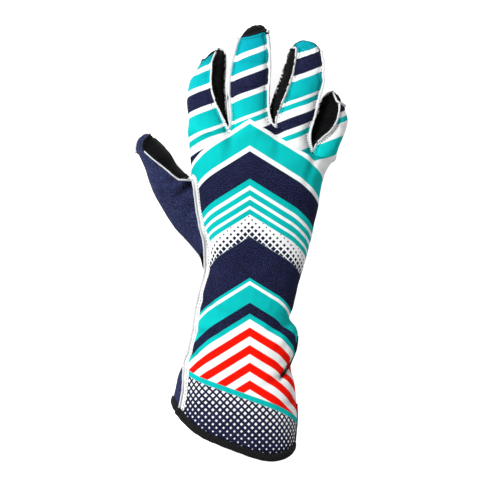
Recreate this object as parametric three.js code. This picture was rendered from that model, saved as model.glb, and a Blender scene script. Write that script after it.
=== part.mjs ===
// Karting glove for the right hand, lying palm down: fingers along +Y, back of the hand up,
// thumb on the -X side, resting on the plane z = 0. Units are millimetres.
//
// The glove is one closed skin with an open cuff. The skin is a grid of rings: slanted rings
// round the cuff and hand, then a tube for each finger and the thumb. Every sewn panel is a
// patch of that grid, cut back from its seams and given the thickness of the cloth.
import * as THREE from 'three';

// Cloth, seams and binding
const CLOTH = 1.5;
const SEAM_WIDTH = 2.0;
const SEAM_RISE = 0.8;
const SEAM_DEPTH = 0.9;
const SEWING_GAP = 0.35;
const FOLD_EASE = 0.8; // more room for the panel that folds back at the thumb's crotch
const BINDING_HEIGHT = 5.2;
const BINDING_PROUD = 0.7;

// Hand and cuff
const CUFF_LENGTH = 104;
const HAND_LENGTH = 132;
const CUFF_WIDTH = 90;
const WRIST_WIDTH = 72;
const CUFF_DEPTH = 38;
const HAND_DEPTH = 42;
const FLATTENED = 0.07; // of CUFF_DEPTH, pressed flat where the cuff lies on the surface
const HEM_SLANT = 36;
const HEM_BULGE = 17;

// Fingers. knuckle is the width between its two crotches, length runs from there to the tip,
// and heading is the angle in plan from +Y towards +X. The back panel covers the first backRows
// of the tip's three rows, and the palm panel the rest.
const FINGERS = [
  { name: 'index', knuckle: 29, length: 60.3, depth: 23, heading: 5.6, backRows: 0 },
  { name: 'middle', knuckle: 35, length: 77.4, depth: 24, heading: 1.4, backRows: 0 },
  { name: 'ring', knuckle: 26, length: 74.8, depth: 23.6, heading: 7, backRows: 2 },
  { name: 'little', knuckle: 15.5, length: 48.2, depth: 21, heading: 11.8, backRows: 0 },
];
const THUMB_LENGTH = 38;
const THUMB_WIDTH = 29;
const THUMB_DEPTH = 25;
const THUMB_HEADING = -27.6;

// Grid: strips across a finger's back or palm, down a side wall, and along the thumb's opening
const BACK_STRIPS = 4;
const WALL_STRIPS = 3;
const THUMB_STRIPS = 5;

// Where the wrist line crosses the frame: the hem is at its -Y side and the crotches at its +Y side
const WRIST_Y = -48;

// Rings of the cuff, from the hem to the wrist. down is the share of CUFF_LENGTH below the wrist on
// the right edge, slant of HEM_SLANT at the left edge, bulge of HEM_BULGE at the middle. left, seam
// and right are shares of CUFF_WIDTH, and top is a share of CUFF_DEPTH. The right edge dips
// where the cloth folds.
const CUFF_RINGS = [
  { down: 0.94, slant: 0.94, bulge: 1.0, left: -0.555, seam: -0.495, right: 0.439, top: 1.0 },
  { down: 0.77, slant: 0.69, bulge: 0.72, left: -0.53, seam: -0.47, right: 0.45, top: 0.99 },
  { down: 0.625, slant: 0.5, bulge: 0.5, left: -0.5, seam: -0.457, right: 0.442, top: 0.97 },
  { down: 0.51, slant: 0.36, bulge: 0.33, left: -0.472, seam: -0.462, right: 0.428, top: 0.95 },
  { down: 0.405, slant: 0.25, bulge: 0.2, left: -0.44, seam: -0.43, right: 0.4, top: 0.91 },
  { down: 0.315, slant: 0.17, bulge: 0.12, left: -0.422, seam: -0.412, right: 0.442, top: 0.93 },
  { down: 0.21, slant: 0.06, bulge: 0.06, left: -0.407, seam: -0.396, right: 0.459, top: 0.9 },
  { down: 0.135, slant: 0, bulge: 0.03, left: -0.396, seam: -0.385, right: 0.439, top: 0.87 },
  { down: 0.077, slant: 0, bulge: 0, left: -0.383, seam: -0.372, right: 0.387, top: 0.83 },
];

// Rings of the hand, from the wrist to below the crotches. up is a share of HAND_LENGTH above the
// wrist, skew the share that the left edge lies beyond the right one, and arch the share that the
// middle lies beyond both. left, seam and right are shares of WRIST_WIDTH, and base and top are
// shares of HAND_DEPTH.
const HAND_RINGS = [
  { up: 0.0, skew: 0, arch: 0, left: -0.461, seam: -0.447, right: 0.528, base: -0.07, top: 0.76 },
  { up: 0.11, skew: 0, arch: 0, left: -0.418, seam: -0.405, right: 0.568, base: -0.07, top: 0.76 },
  { up: 0.235, skew: 0, arch: 0, left: -0.37, seam: -0.352, right: 0.635, base: -0.07, top: 0.78 },
  { up: 0.33, skew: 0, arch: 0, left: -0.41, seam: -0.366, right: 0.685, base: -0.07, top: 0.81 },
  { up: 0.425, skew: 0, arch: 0, left: -0.46, seam: -0.404, right: 0.725, base: -0.07, top: 0.85 },
  { up: 0.52, skew: 0.01, arch: 0, left: -0.49, seam: -0.442, right: 0.76, base: -0.03, top: 0.89 },
  { up: 0.61, skew: 0.02, arch: 0, left: -0.505, seam: -0.467, right: 0.79, base: 0.05, top: 0.935 },
  { up: 0.685, skew: 0.022, arch: 0.005, left: -0.512, seam: -0.486, right: 0.815, base: 0.1, top: 0.97 },
  { up: 0.74, skew: 0.08, arch: 0.022, left: -0.524, seam: -0.5, right: 0.848, base: 0.16, top: 0.995 },
  { up: 0.783, skew: 0.125, arch: 0.055, left: -0.53, seam: -0.51, right: 0.888, base: 0.22, top: 0.985 },
];
// The thumb's opening runs between these two rings of HAND_RINGS
const THUMB_FROM = 2;
const THUMB_TO = 7;

// Crotches from the index's outer edge to the little finger's. up is a share of HAND_LENGTH above
// the wrist, low and high are the wall's two ends as shares of HAND_DEPTH.
const CROTCHES = [
  { up: 0.972, low: 0.5, high: 0.74 },
  { up: 0.973, low: 0.46, high: 0.8 },
  { up: 0.987, low: 0.47, high: 0.81 },
  { up: 0.842, low: 0.39, high: 0.7 },
  { up: 0.818, low: 0.33, high: 0.56 },
];
const FIRST_CROTCH = -0.534; // of WRIST_WIDTH
const KNUCKLE_ARCH = 0.34; // of a finger's depth, above and below its crotches

// Rings of each finger. at is a share of its length, side and wide (half the width) are shares of
// its knuckle, high and deep (half the depth) of its depth. slant turns the ring in plan. The
// last four are where the panels' seams lie, in degrees from the top towards +X.
const FINGER_RINGS = {
  index: [
    { at: 0.1, side: -0.03, high: 1.12, wide: 0.49, deep: 0.5, slant: 0, seams: [-62, 58, 112, -112] },
    { at: 0.3, side: -0.12, high: 0.94, wide: 0.485, deep: 0.49, slant: 0, seams: [-62, 30, 98, -112] },
    { at: 0.5, side: -0.17, high: 0.73, wide: 0.455, deep: 0.47, slant: 0, seams: [-62, 14, 95, -112] },
    { at: 0.7, side: -0.12, high: 0.53, wide: 0.39, deep: 0.44, slant: 0.1, seams: [-60, 3, 95, -108] },
    { at: 0.9, side: -0.03, high: 0.34, wide: 0.29, deep: 0.34, slant: 0.3, seams: [-55, -4, 95, -100] },
  ],
  middle: [
    { at: 0.1, side: -0.05, high: 1.14, wide: 0.4, deep: 0.49, slant: 0, seams: [-66, 66, 114, -114] },
    { at: 0.3, side: -0.09, high: 0.97, wide: 0.4, deep: 0.475, slant: 0, seams: [-67, 67, 114, -114] },
    { at: 0.5, side: -0.09, high: 0.77, wide: 0.412, deep: 0.465, slant: 0, seams: [-67, 67, 114, -114] },
    { at: 0.7, side: -0.05, high: 0.56, wide: 0.377, deep: 0.45, slant: 0, seams: [-66, 66, 114, -114] },
    { at: 0.91, side: -0.03, high: 0.34, wide: 0.285, deep: 0.34, slant: 0.33, seams: [-62, 62, 112, -112] },
  ],
  ring: [
    { at: 0.13, side: -0.135, high: 1.13, wide: 0.5, deep: 0.49, slant: -0.3, seams: [-56, 70, 120, -104] },
    { at: 0.3, side: -0.12, high: 0.99, wide: 0.59, deep: 0.48, slant: -0.08, seams: [-38, 74, 122, -98] },
    { at: 0.46, side: -0.07, high: 0.83, wide: 0.565, deep: 0.475, slant: 0, seams: [-31, 76, 122, -96] },
    { at: 0.62, side: 0.02, high: 0.67, wide: 0.55, deep: 0.465, slant: 0, seams: [-30, 76, 122, -96] },
    { at: 0.76, side: 0.04, high: 0.52, wide: 0.505, deep: 0.44, slant: 0, seams: [-32, 74, 122, -96] },
    { at: 0.91, side: 0.035, high: 0.34, wide: 0.385, deep: 0.345, slant: 0, seams: [-40, 66, 118, -98] },
  ],
  little: [
    { at: 0.16, side: -0.04, high: 0.98, wide: 0.63, deep: 0.49, slant: -0.2, seams: [-36, 72, 128, -100] },
    { at: 0.35, side: 0.0, high: 0.83, wide: 0.72, deep: 0.485, slant: 0, seams: [0, 80, 136, -84] },
    { at: 0.54, side: 0.07, high: 0.65, wide: 0.73, deep: 0.47, slant: 0, seams: [14, 82, 140, -78] },
    { at: 0.72, side: 0.08, high: 0.5, wide: 0.65, deep: 0.43, slant: -0.1, seams: [18, 82, 140, -76] },
    { at: 0.87, side: 0.03, high: 0.34, wide: 0.47, deep: 0.35, slant: -0.25, seams: [20, 80, 138, -74] },
  ],
};

// Free rings of the thumb, past the rings that lead to them from its opening. Lengths are shares of
// THUMB_LENGTH, THUMB_WIDTH and THUMB_DEPTH. seams: outer top, front top, front low, outer low.
const THUMB_BASE = { x: -53, y: 44 };
const THUMB_LEAD_RINGS = 4;
const LEAD_EASE = 0.6;
const LEAD_BULGE = 2.3; // of the outer side of those rings, away from the hand
const THUMB_RINGS = [
  { at: 0.0, side: 0.0, high: 0.62, wide: 0.475, deep: 0.49, seams: [-66, 20, 84, -120] },
  { at: 0.25, side: -0.03, high: 0.57, wide: 0.41, deep: 0.46, seams: [-74, 10, 88, -126] },
  { at: 0.5, side: 0.0, high: 0.5, wide: 0.365, deep: 0.42, seams: [-84, -12, 88, -134] },
  { at: 0.79, side: -0.05, high: 0.33, wide: 0.3, deep: 0.34, seams: [-94, -30, 86, -142] },
];

// How boxy a section is: 2 is an ellipse. WIDEST is how high its widest line lies in the hand.
const FINGER_SQUARENESS = 2.25;
const HAND_SQUARENESS = 2.35;
const WIDEST = 0.42;
// Share of the ring's angle at which the hand's right wall starts and ends, and its left wall ends
const RIGHT_WALL = { top: 28, low: -30 };
const LEFT_WALL_LOW = 198;

const rad = THREE.MathUtils.degToRad;
const mix = THREE.MathUtils.lerp;
const power = (value, exponent) => Math.sign(value) * Math.abs(value) ** exponent;
const spread = (count, from, to) =>
  Array.from({ length: count + 1 }, (_, i) => mix(from, to, i / count));

// The skin's vertices, and its quads with the name of the panel that each belongs to
const points = [];
const quads = [];

function addPoint(x, y, z) {
  points.push(new THREE.Vector3(x, y, Math.max(z, 0)));
  return points.length - 1;
}

function addStrips(lower, upper, panelOf) {
  const count = lower.length;
  for (let k = 0; k < count; k++) {
    const panel = panelOf(k);
    const next = (k + 1) % count;
    if (panel) quads.push({ panel, ids: [lower[k], lower[next], upper[next], upper[k]] });
  }
}

// Layout of the rings: back, right wall, palm, left wall, in that order
const HAND_BACK = FINGERS.length * BACK_STRIPS;
const handSection = (k) => {
  if (k < HAND_BACK) return 'back';
  if (k < HAND_BACK + WALL_STRIPS) return 'right';
  return k < 2 * HAND_BACK + WALL_STRIPS ? 'palm' : 'left';
};

// Crotches in plan, from the knuckles' widths
const crotchX = [FIRST_CROTCH * WRIST_WIDTH];
for (const finger of FINGERS) crotchX.push(crotchX.at(-1) + finger.knuckle);
const knuckleShare = crotchX.map((x) => (x - crotchX[0]) / (crotchX.at(-1) - crotchX[0]));

// Share across the back at which a strip of the hand starts: even at the cuff, and matched to the
// fingers at the crotches
function acrossHand(k, towardsFingers) {
  const finger = Math.min(Math.floor(k / BACK_STRIPS), FINGERS.length - 1);
  const within = k / BACK_STRIPS - finger;
  const matched = mix(knuckleShare[finger], knuckleShare[finger + 1], within);
  return mix(k / HAND_BACK, matched, towardsFingers);
}

// A ring of the hand or cuff: an outline from left to right in plan, with its two end heights.
function handRing({ left, seam, right, leftY, rightY, bulge, base, top, towardsFingers }) {
  const middleX = (left + right) / 2;
  const half = (right - left) / 2;
  const middleZ = mix(base, top, WIDEST);
  const e = 2 / HAND_SQUARENESS;
  const at = (degrees) => {
    const x = middleX + half * power(Math.cos(rad(degrees)), e);
    const lift = power(Math.sin(rad(degrees)), e);
    return { x, z: middleZ + lift * (lift > 0 ? top - middleZ : middleZ - base) };
  };
  const edge = (x) => Math.min(0.999, Math.abs((x - middleX) / half));
  const heightShare = (x) => (1 - edge(x) ** HAND_SQUARENESS) ** (1 / HAND_SQUARENESS);
  const add = (x, z) => {
    const share = THREE.MathUtils.clamp((x - left) / (right - left), 0, 1);
    const fullness = 1 - (2 * share - 1) ** 4;
    return addPoint(x, mix(leftY, rightY, share) - bulge * fullness, z);
  };
  const ring = [];
  const rightTop = at(RIGHT_WALL.top);
  const rightLow = at(RIGHT_WALL.low);
  const leftLow = at(LEFT_WALL_LOW);
  const seamAngle = 180 - THREE.MathUtils.radToDeg(
    Math.asin(Math.min(0.999, heightShare(seam) ** (1 / e))));
  for (let k = 0; k < HAND_BACK; k++) {
    const x = mix(seam, rightTop.x, acrossHand(k, towardsFingers));
    ring.push(add(x, middleZ + (top - middleZ) * heightShare(x)));
  }
  for (const angle of spread(WALL_STRIPS, RIGHT_WALL.top, RIGHT_WALL.low).slice(0, -1)) {
    const { x, z } = at(angle);
    ring.push(add(x, z));
  }
  for (let k = HAND_BACK; k > 0; k--) {
    const x = mix(leftLow.x, rightLow.x, acrossHand(k, towardsFingers));
    ring.push(add(x, middleZ - (middleZ - base) * heightShare(x)));
  }
  for (const angle of spread(WALL_STRIPS, LEFT_WALL_LOW, seamAngle).slice(0, -1)) {
    const { x, z } = at(angle);
    ring.push(add(x, z));
  }
  return ring;
}

const cuffRings = CUFF_RINGS.map((row) => handRing({
  left: row.left * CUFF_WIDTH,
  seam: row.seam * CUFF_WIDTH,
  right: row.right * CUFF_WIDTH,
  leftY: WRIST_Y - row.down * CUFF_LENGTH + row.slant * HEM_SLANT,
  rightY: WRIST_Y - row.down * CUFF_LENGTH,
  bulge: row.bulge * HEM_BULGE,
  base: -FLATTENED * CUFF_DEPTH,
  top: row.top * CUFF_DEPTH,
  towardsFingers: 0,
}));
const palmRings = HAND_RINGS.map((row) => handRing({
  left: row.left * WRIST_WIDTH,
  seam: row.seam * WRIST_WIDTH,
  right: row.right * WRIST_WIDTH,
  leftY: WRIST_Y + (row.up + row.skew) * HAND_LENGTH,
  rightY: WRIST_Y + row.up * HAND_LENGTH,
  bulge: -row.arch * HAND_LENGTH,
  base: row.base * HAND_DEPTH,
  top: row.top * HAND_DEPTH,
  towardsFingers: row.up,
}));
const handRings = [...cuffRings, ...palmRings];
const thumbFrom = cuffRings.length + THUMB_FROM;
const thumbTo = cuffRings.length + THUMB_TO;

// Walls at the crotches, from the back to the palm, and the arcs over each knuckle
const crotchWalls = CROTCHES.map((row, i) => spread(WALL_STRIPS, row.high, row.low).map(
  (z) => addPoint(crotchX[i], WRIST_Y + row.up * HAND_LENGTH, z * HAND_DEPTH)));

function knuckleArc(from, to, finger, direction) {
  const a = points[from];
  const b = points[to];
  const arc = [];
  for (let k = 1; k < BACK_STRIPS; k++) {
    const share = k / BACK_STRIPS;
    const rise = direction * KNUCKLE_ARCH * finger.depth * Math.sin(Math.PI * share) ** 0.7;
    arc.push(addPoint(mix(a.x, b.x, share), mix(a.y, b.y, share), mix(a.z, b.z, share) + rise));
  }
  return arc;
}

const knuckles = FINGERS.map((finger, i) => ({
  back: knuckleArc(crotchWalls[i][0], crotchWalls[i + 1][0], finger, 1),
  palm: knuckleArc(crotchWalls[i + 1].at(-1), crotchWalls[i].at(-1), finger, -1),
}));

const rootRing = [
  ...FINGERS.flatMap((_, i) => [crotchWalls[i][0], ...knuckles[i].back]),
  ...crotchWalls.at(-1).slice(0, -1),
  ...FINGERS.map((_, i) => FINGERS.length - 1 - i)
    .flatMap((i) => [crotchWalls[i + 1].at(-1), ...knuckles[i].palm]),
  ...crotchWalls[0].slice(1).reverse(),
];
handRings.push(rootRing);

for (let row = 0; row + 1 < handRings.length; row++) {
  addStrips(handRings[row], handRings[row + 1], (k) => {
    const section = handSection(k);
    if (section === 'back' || section === 'right') return 'back_panel';
    if (section === 'palm') return row < thumbFrom ? 'cuff_under_panel' : 'palm_panel';
    if (row < thumbFrom) return 'cuff_under_panel';
    return row < thumbTo ? null : 'back_panel';
  });
}

// A free ring of a finger or the thumb, round its own axis
function tubeRing({ centre, heading, slant, halfWidth, halfDepth, angles }) {
  const e = 2 / FINGER_SQUARENESS;
  const across = new THREE.Vector3(Math.cos(rad(heading)), -Math.sin(rad(heading)), 0);
  const along = new THREE.Vector3(Math.sin(rad(heading)), Math.cos(rad(heading)), 0);
  return angles.map((angle) => {
    const u = halfWidth * power(Math.sin(rad(angle)), e);
    const v = halfDepth * power(Math.cos(rad(angle)), e);
    const p = centre.clone().addScaledVector(across, u).addScaledVector(along, slant * u);
    return addPoint(p.x, p.y, p.z + v);
  });
}

function tubeAngles([backLeft, backRight, palmRight, palmLeft], backStrips) {
  return [
    ...spread(backStrips, backLeft, backRight).slice(0, -1),
    ...spread(WALL_STRIPS, backRight, palmRight).slice(0, -1),
    ...spread(backStrips, palmRight, palmLeft + 360).slice(0, -1),
    ...spread(WALL_STRIPS, palmLeft, backLeft).slice(0, -1),
  ];
}

// Closes a tube with a rounded grid between its last ring's back and palm
function addTip(ring, strips, tipPoint, panelOf) {
  const centre = new THREE.Vector3();
  ring.forEach((id) => centre.addScaledVector(points[id], 1 / ring.length));
  const reach = tipPoint.clone().sub(centre);
  const right = ring.slice(strips, strips + WALL_STRIPS + 1);
  const palm = ring.slice(strips + WALL_STRIPS, 2 * strips + WALL_STRIPS + 1).reverse();
  const left = [ring[0], ...ring.slice(2 * strips + WALL_STRIPS).reverse()];
  const rows = [ring.slice(0, strips + 1)];
  for (let r = 1; r < WALL_STRIPS; r++) {
    const row = [left[r]];
    for (let c = 1; c < strips; c++) {
      const down = r / WALL_STRIPS;
      const acrossShare = c / strips;
      const p = points[rows[0][c]].clone().lerp(points[palm[c]], down);
      const side = points[left[r]].clone().lerp(points[right[r]], acrossShare);
      p.lerp(side, 0.5);
      const dome = (Math.sin(Math.PI * down) * Math.sin(Math.PI * acrossShare)) ** 0.5;
      row.push(addPoint(...p.addScaledVector(reach, dome).toArray()));
    }
    row.push(right[r]);
    rows.push(row);
  }
  rows.push(palm);
  for (let r = 0; r < WALL_STRIPS; r++) {
    for (let c = 0; c < strips; c++) {
      quads.push({
        panel: panelOf(r),
        ids: [rows[r][c], rows[r][c + 1], rows[r + 1][c + 1], rows[r + 1][c]],
      });
    }
  }
}

// Fingers
FINGERS.forEach((finger, i) => {
  const start = new THREE.Vector3(
    (crotchX[i] + crotchX[i + 1]) / 2,
    WRIST_Y + ((CROTCHES[i].up + CROTCHES[i + 1].up) / 2) * HAND_LENGTH,
    0,
  );
  const heading = rad(finger.heading);
  const along = new THREE.Vector3(Math.sin(heading), Math.cos(heading), 0);
  const across = new THREE.Vector3(Math.cos(heading), -Math.sin(heading), 0);
  const place = (at, side, high) => start.clone()
    .addScaledVector(along, at * finger.length)
    .addScaledVector(across, side * finger.knuckle)
    .setZ(high * finger.depth);
  const rows = FINGER_RINGS[finger.name];
  let lower = [
    crotchWalls[i][0], ...knuckles[i].back,
    ...crotchWalls[i + 1].slice(0, -1),
    crotchWalls[i + 1].at(-1), ...knuckles[i].palm,
    ...crotchWalls[i].slice(1).reverse(),
  ];
  const fourchette = (side) => `fourchette_${FINGERS[side].name}_${FINGERS[side + 1].name}`;
  for (const row of rows) {
    const upper = tubeRing({
      centre: place(row.at, row.side, row.high),
      heading: finger.heading,
      slant: row.slant,
      halfWidth: row.wide * finger.knuckle,
      halfDepth: row.deep * finger.depth,
      angles: tubeAngles(row.seams, BACK_STRIPS),
    });
    addStrips(lower, upper, (k) => {
      if (k < BACK_STRIPS) return 'back_panel';
      if (k < BACK_STRIPS + WALL_STRIPS) {
        return i + 1 < FINGERS.length ? fourchette(i) : 'back_panel';
      }
      if (k < 2 * BACK_STRIPS + WALL_STRIPS) return 'palm_panel';
      return i > 0 ? fourchette(i - 1) : 'back_panel';
    });
    lower = upper;
  }
  const last = rows.at(-1);
  addTip(lower, BACK_STRIPS, place(1, last.side, last.high * 0.95),
    (r) => (r < finger.backRows ? 'back_panel' : 'palm_panel'));
});

// Thumb: from its opening in the hand's left side, through lead-in rings, to its tip
const palmLeftIndex = 2 * HAND_BACK + WALL_STRIPS;
const openingRows = handRings.slice(thumbFrom, thumbTo + 1);
const leftWall = (ring) => ring.slice(palmLeftIndex + 1);
const opening = [
  ...openingRows.map((ring) => ring[0]),
  ...leftWall(openingRows.at(-1)).reverse(),
  ...openingRows.map((ring) => ring[palmLeftIndex]).reverse(),
  ...leftWall(openingRows[0]),
];
const thumbPlace = (at, side, high) => new THREE.Vector3(
  THUMB_BASE.x + at * THUMB_LENGTH * Math.sin(rad(THUMB_HEADING))
    + side * THUMB_WIDTH * Math.cos(rad(THUMB_HEADING)),
  THUMB_BASE.y + at * THUMB_LENGTH * Math.cos(rad(THUMB_HEADING))
    - side * THUMB_WIDTH * Math.sin(rad(THUMB_HEADING)),
  high * THUMB_DEPTH,
);
const thumbRings = THUMB_RINGS.map((row) => tubeRing({
  centre: thumbPlace(row.at, row.side, row.high),
  heading: THUMB_HEADING,
  slant: 0,
  halfWidth: row.wide * THUMB_WIDTH,
  halfDepth: row.deep * THUMB_DEPTH,
  angles: tubeAngles(row.seams, THUMB_STRIPS),
}));
const firstThumb = THUMB_RINGS[0];
const thumbCentre = thumbPlace(firstThumb.at, firstThumb.side, firstThumb.high);
const outward = new THREE.Vector3(-Math.cos(rad(THUMB_HEADING)), Math.sin(rad(THUMB_HEADING)), 0);
const leadRings = spread(THUMB_LEAD_RINGS, 0, 1).slice(1, -1).map((share) => {
  const along = share ** LEAD_EASE;
  return opening.map((id, k) => {
    const end = points[thumbRings[0][k]];
    const outer = Math.max(end.clone().sub(thumbCentre).dot(outward), 0)
      / (firstThumb.wide * THUMB_WIDTH);
    const p = points[id].clone().lerp(end, along)
      .addScaledVector(outward, LEAD_BULGE * outer * Math.sin(Math.PI * share));
    return addPoint(p.x, p.y, p.z);
  });
});
const thumbStack = [opening, ...leadRings, ...thumbRings];
for (let s = 0; s + 1 < thumbStack.length; s++) {
  addStrips(thumbStack[s], thumbStack[s + 1], (k) => (
    k < THUMB_STRIPS || k >= 2 * THUMB_STRIPS + WALL_STRIPS
      ? 'thumb_back_panel' : 'thumb_front_panel'));
}
const lastThumb = THUMB_RINGS.at(-1);
addTip(thumbStack.at(-1), THUMB_STRIPS, thumbPlace(1, lastThumb.side, lastThumb.high),
  () => 'thumb_front_panel');

// Normals at every point of the skin, from the quads of the panels that are named
function normalsOf(included) {
  const result = points.map(() => new THREE.Vector3());
  for (const { panel, ids } of quads) {
    if (!included(panel)) continue;
    const [a, b, c, d] = ids.map((id) => points[id]);
    const normal = c.clone().sub(a).cross(d.clone().sub(b)).normalize();
    ids.forEach((id) => result[id].add(normal));
  }
  return result.map((normal) => normal.normalize());
}
const normals = normalsOf(() => true);

const hem = handRings[0];
const hemIds = new Set(hem);
const edgeKey = (a, b) => (a < b ? `${a}_${b}` : `${b}_${a}`);

// Edges round a panel, each with the point that follows it, and the panels on an edge
function outline(panel) {
  const open = new Map();
  for (const quad of quads.filter((q) => q.panel === panel)) {
    quad.ids.forEach((a, k) => {
      const b = quad.ids[(k + 1) % 4];
      const key = edgeKey(a, b);
      if (open.has(key)) open.delete(key);
      else open.set(key, [a, b]);
    });
  }
  return new Map([...open.values()]);
}
const panelNames = [...new Set(quads.map((quad) => quad.panel))];
const outlines = Object.fromEntries(panelNames.map((name) => [name, outline(name)]));

// Mitred direction in the skin at a point, to the left of the edges before and after it
function mitre(before, at, after, skin = normals, sharpest = 0.45) {
  const sideways = (a, b) =>
    skin[at].clone().cross(points[b].clone().sub(points[a])).normalize();
  const first = before === null ? sideways(at, after) : sideways(before, at);
  const second = after === null ? first : sideways(at, after);
  const middle = first.clone().add(second).normalize();
  return middle.divideScalar(Math.max(sharpest, middle.dot(first)));
}

// The same at the hem, where the move is along the hem itself
function alongHem(id, side) {
  const k = hem.indexOf(id);
  const tangent = points[hem[(k + 1) % hem.length]].clone().sub(points[hem.at(k - 1)]).normalize();
  return tangent.divideScalar(tangent.dot(side));
}

function solid(positions, triangles) {
  const geometry = new THREE.BufferGeometry();
  geometry.setAttribute('position', new THREE.Float32BufferAttribute(positions.flatMap(
    (p) => p.toArray()), 3));
  geometry.setIndex(triangles);
  geometry.computeVertexNormals();
  return geometry;
}

// A panel: its patch of the skin, cut back from the seams, with the cloth's thickness inside
function panelGeometry(panel) {
  const next = outlines[panel];
  const previous = new Map([...next].map(([a, b]) => [b, a]));
  const own = normalsOf((name) => name === panel);
  const cutBack = SEAM_WIDTH / 2 + SEWING_GAP + (panel === 'thumb_front_panel' ? FOLD_EASE : 0);
  const local = new Map();
  const outer = [];
  const inner = [];
  const idOf = (id) => {
    if (!local.has(id)) {
      const p = points[id].clone();
      if (next.has(id)) {
        const before = previous.get(id);
        const after = next.get(id);
        const hemBefore = hemIds.has(id) && hemIds.has(before);
        const hemAfter = hemIds.has(id) && hemIds.has(after);
        if (hemBefore && !hemAfter) p.addScaledVector(alongHem(id, mitre(null, id, after, own)), cutBack);
        else if (hemAfter && !hemBefore) {
          p.addScaledVector(alongHem(id, mitre(before, id, null, own)), cutBack);
        } else if (!hemBefore) p.addScaledVector(mitre(before, id, after, own, 0.3), cutBack);
      }
      local.set(id, outer.length);
      outer.push(p);
      inner.push(p.clone().addScaledVector(normals[id], -CLOTH));
    }
    return local.get(id);
  };
  const faces = quads.filter((quad) => quad.panel === panel).map((quad) => quad.ids.map(idOf));
  const lift = outer.length;
  const triangles = [];
  for (const [a, b, c, d] of faces) {
    triangles.push(a, b, c, a, c, d);
    triangles.push(a + lift, c + lift, b + lift, a + lift, d + lift, c + lift);
  }
  for (const [from, to] of next) {
    const a = local.get(from);
    const b = local.get(to);
    triangles.push(b, a, a + lift, b, a + lift, b + lift);
  }
  return solid([...outer, ...inner], triangles);
}

// Points along the edges that a panel shares with others, in order
function seamLine(onePanel, otherPanels) {
  const others = new Set(otherPanels.flatMap((name) => [...outlines[name]].map(
    ([a, b]) => edgeKey(a, b))));
  const next = new Map([...outlines[onePanel]].filter(([a, b]) => others.has(edgeKey(a, b))));
  const targets = new Set(next.values());
  const start = [...next.keys()].find((id) => !targets.has(id));
  const line = [start];
  while (next.has(line.at(-1))) line.push(next.get(line.at(-1)));
  return line;
}

// A raised seam between a panel and its neighbours: a band of folded cloth that fills the gap.
// Each end is cut short by its trim, as a multiple of the panels' own cut.
function seamGeometry(onePanel, otherPanels, trimStart, trimEnd) {
  const line = seamLine(onePanel, otherPanels);
  const leftSkin = normalsOf((name) => name === onePanel);
  const rightSkin = normalsOf((name) => otherPanels.includes(name));
  const corners = [];
  const half = SEAM_WIDTH / 2;
  const trim = SEAM_WIDTH / 2 + SEWING_GAP;
  line.forEach((id, i) => {
    const before = i > 0 ? line[i - 1] : null;
    const after = i + 1 < line.length ? line[i + 1] : null;
    const [left, right] = [leftSkin, rightSkin].map((skin) => {
      const side = mitre(before, id, after, skin);
      return hemIds.has(id) ? alongHem(id, side) : side;
    });
    const p = points[id].clone();
    if (before === null && trimStart) {
      p.addScaledVector(points[after].clone().sub(p).normalize(), trim * trimStart);
    }
    if (after === null && trimEnd) {
      p.addScaledVector(points[before].clone().sub(p).normalize(), trim * trimEnd);
    }
    for (const [side, across, out] of [
      [left, half, SEAM_RISE], [right, -half, SEAM_RISE],
      [right, -0.7 * half, -SEAM_DEPTH], [left, 0.7 * half, -SEAM_DEPTH],
    ]) {
      const corner = p.clone().addScaledVector(side, across).addScaledVector(normals[id], out);
      corners.push(corner.setZ(Math.max(corner.z, 0)));
    }
  });
  const triangles = [];
  const quad = (a, b, c, d) => triangles.push(a, b, c, a, c, d);
  for (let i = 0; i + 1 < line.length; i++) {
    for (let k = 0; k < 4; k++) {
      const a = 4 * i + k;
      const b = 4 * i + (k + 1) % 4;
      quad(a, b, b + 4, a + 4);
    }
  }
  const end = 4 * (line.length - 1);
  quad(3, 2, 1, 0);
  quad(end, end + 1, end + 2, end + 3);
  return solid(corners, triangles);
}

// The binding tape round the hem
function bindingGeometry(ring) {
  const corners = [];
  ring.forEach((id, k) => {
    const down = mitre(ring.at(k - 1), id, ring[(k + 1) % ring.length]).negate();
    const out = normals[id];
    for (const [below, proud] of [
      [SEWING_GAP, BINDING_PROUD], [BINDING_HEIGHT, BINDING_PROUD],
      [BINDING_HEIGHT, -CLOTH - BINDING_PROUD], [SEWING_GAP, -CLOTH - BINDING_PROUD],
    ]) {
      const p = points[id].clone().addScaledVector(down, below).addScaledVector(out, proud);
      corners.push(p.setZ(Math.max(p.z, proud > 0 ? 0 : CLOTH)));
    }
  });
  const triangles = [];
  const count = ring.length;
  for (let i = 0; i < count; i++) {
    for (let k = 0; k < 4; k++) {
      const a = 4 * i + k;
      const b = 4 * i + (k + 1) % 4;
      const c = 4 * ((i + 1) % count) + (k + 1) % 4;
      const d = 4 * ((i + 1) % count) + k;
      triangles.push(a, b, c, a, c, d);
    }
  }
  return solid(corners, triangles);
}

const cloth = (color, roughness) =>
  new THREE.MeshStandardMaterial({ color, roughness, metalness: 0 });
const materials = {
  print: cloth(0x10b8b4, 0.8),
  navy: cloth(0x23264a, 0.85),
  suede: cloth(0x0c0c0f, 0.95),
  seam: cloth(0xf2f2f0, 0.85),
  binding: cloth(0x141414, 0.9),
};

const glove = new THREE.Group();
const add = (name, geometry, material) => {
  const mesh = new THREE.Mesh(geometry, material);
  mesh.name = name;
  glove.add(mesh);
};

const fourchettes = panelNames.filter((name) => name.startsWith('fourchette'));
const panelMaterial = (name) => {
  if (name === 'back_panel') return materials.print;
  return name === 'cuff_under_panel' || name === 'thumb_back_panel' ? materials.navy : materials.suede;
};
for (const name of panelNames) add(name, panelGeometry(name), panelMaterial(name));

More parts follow.
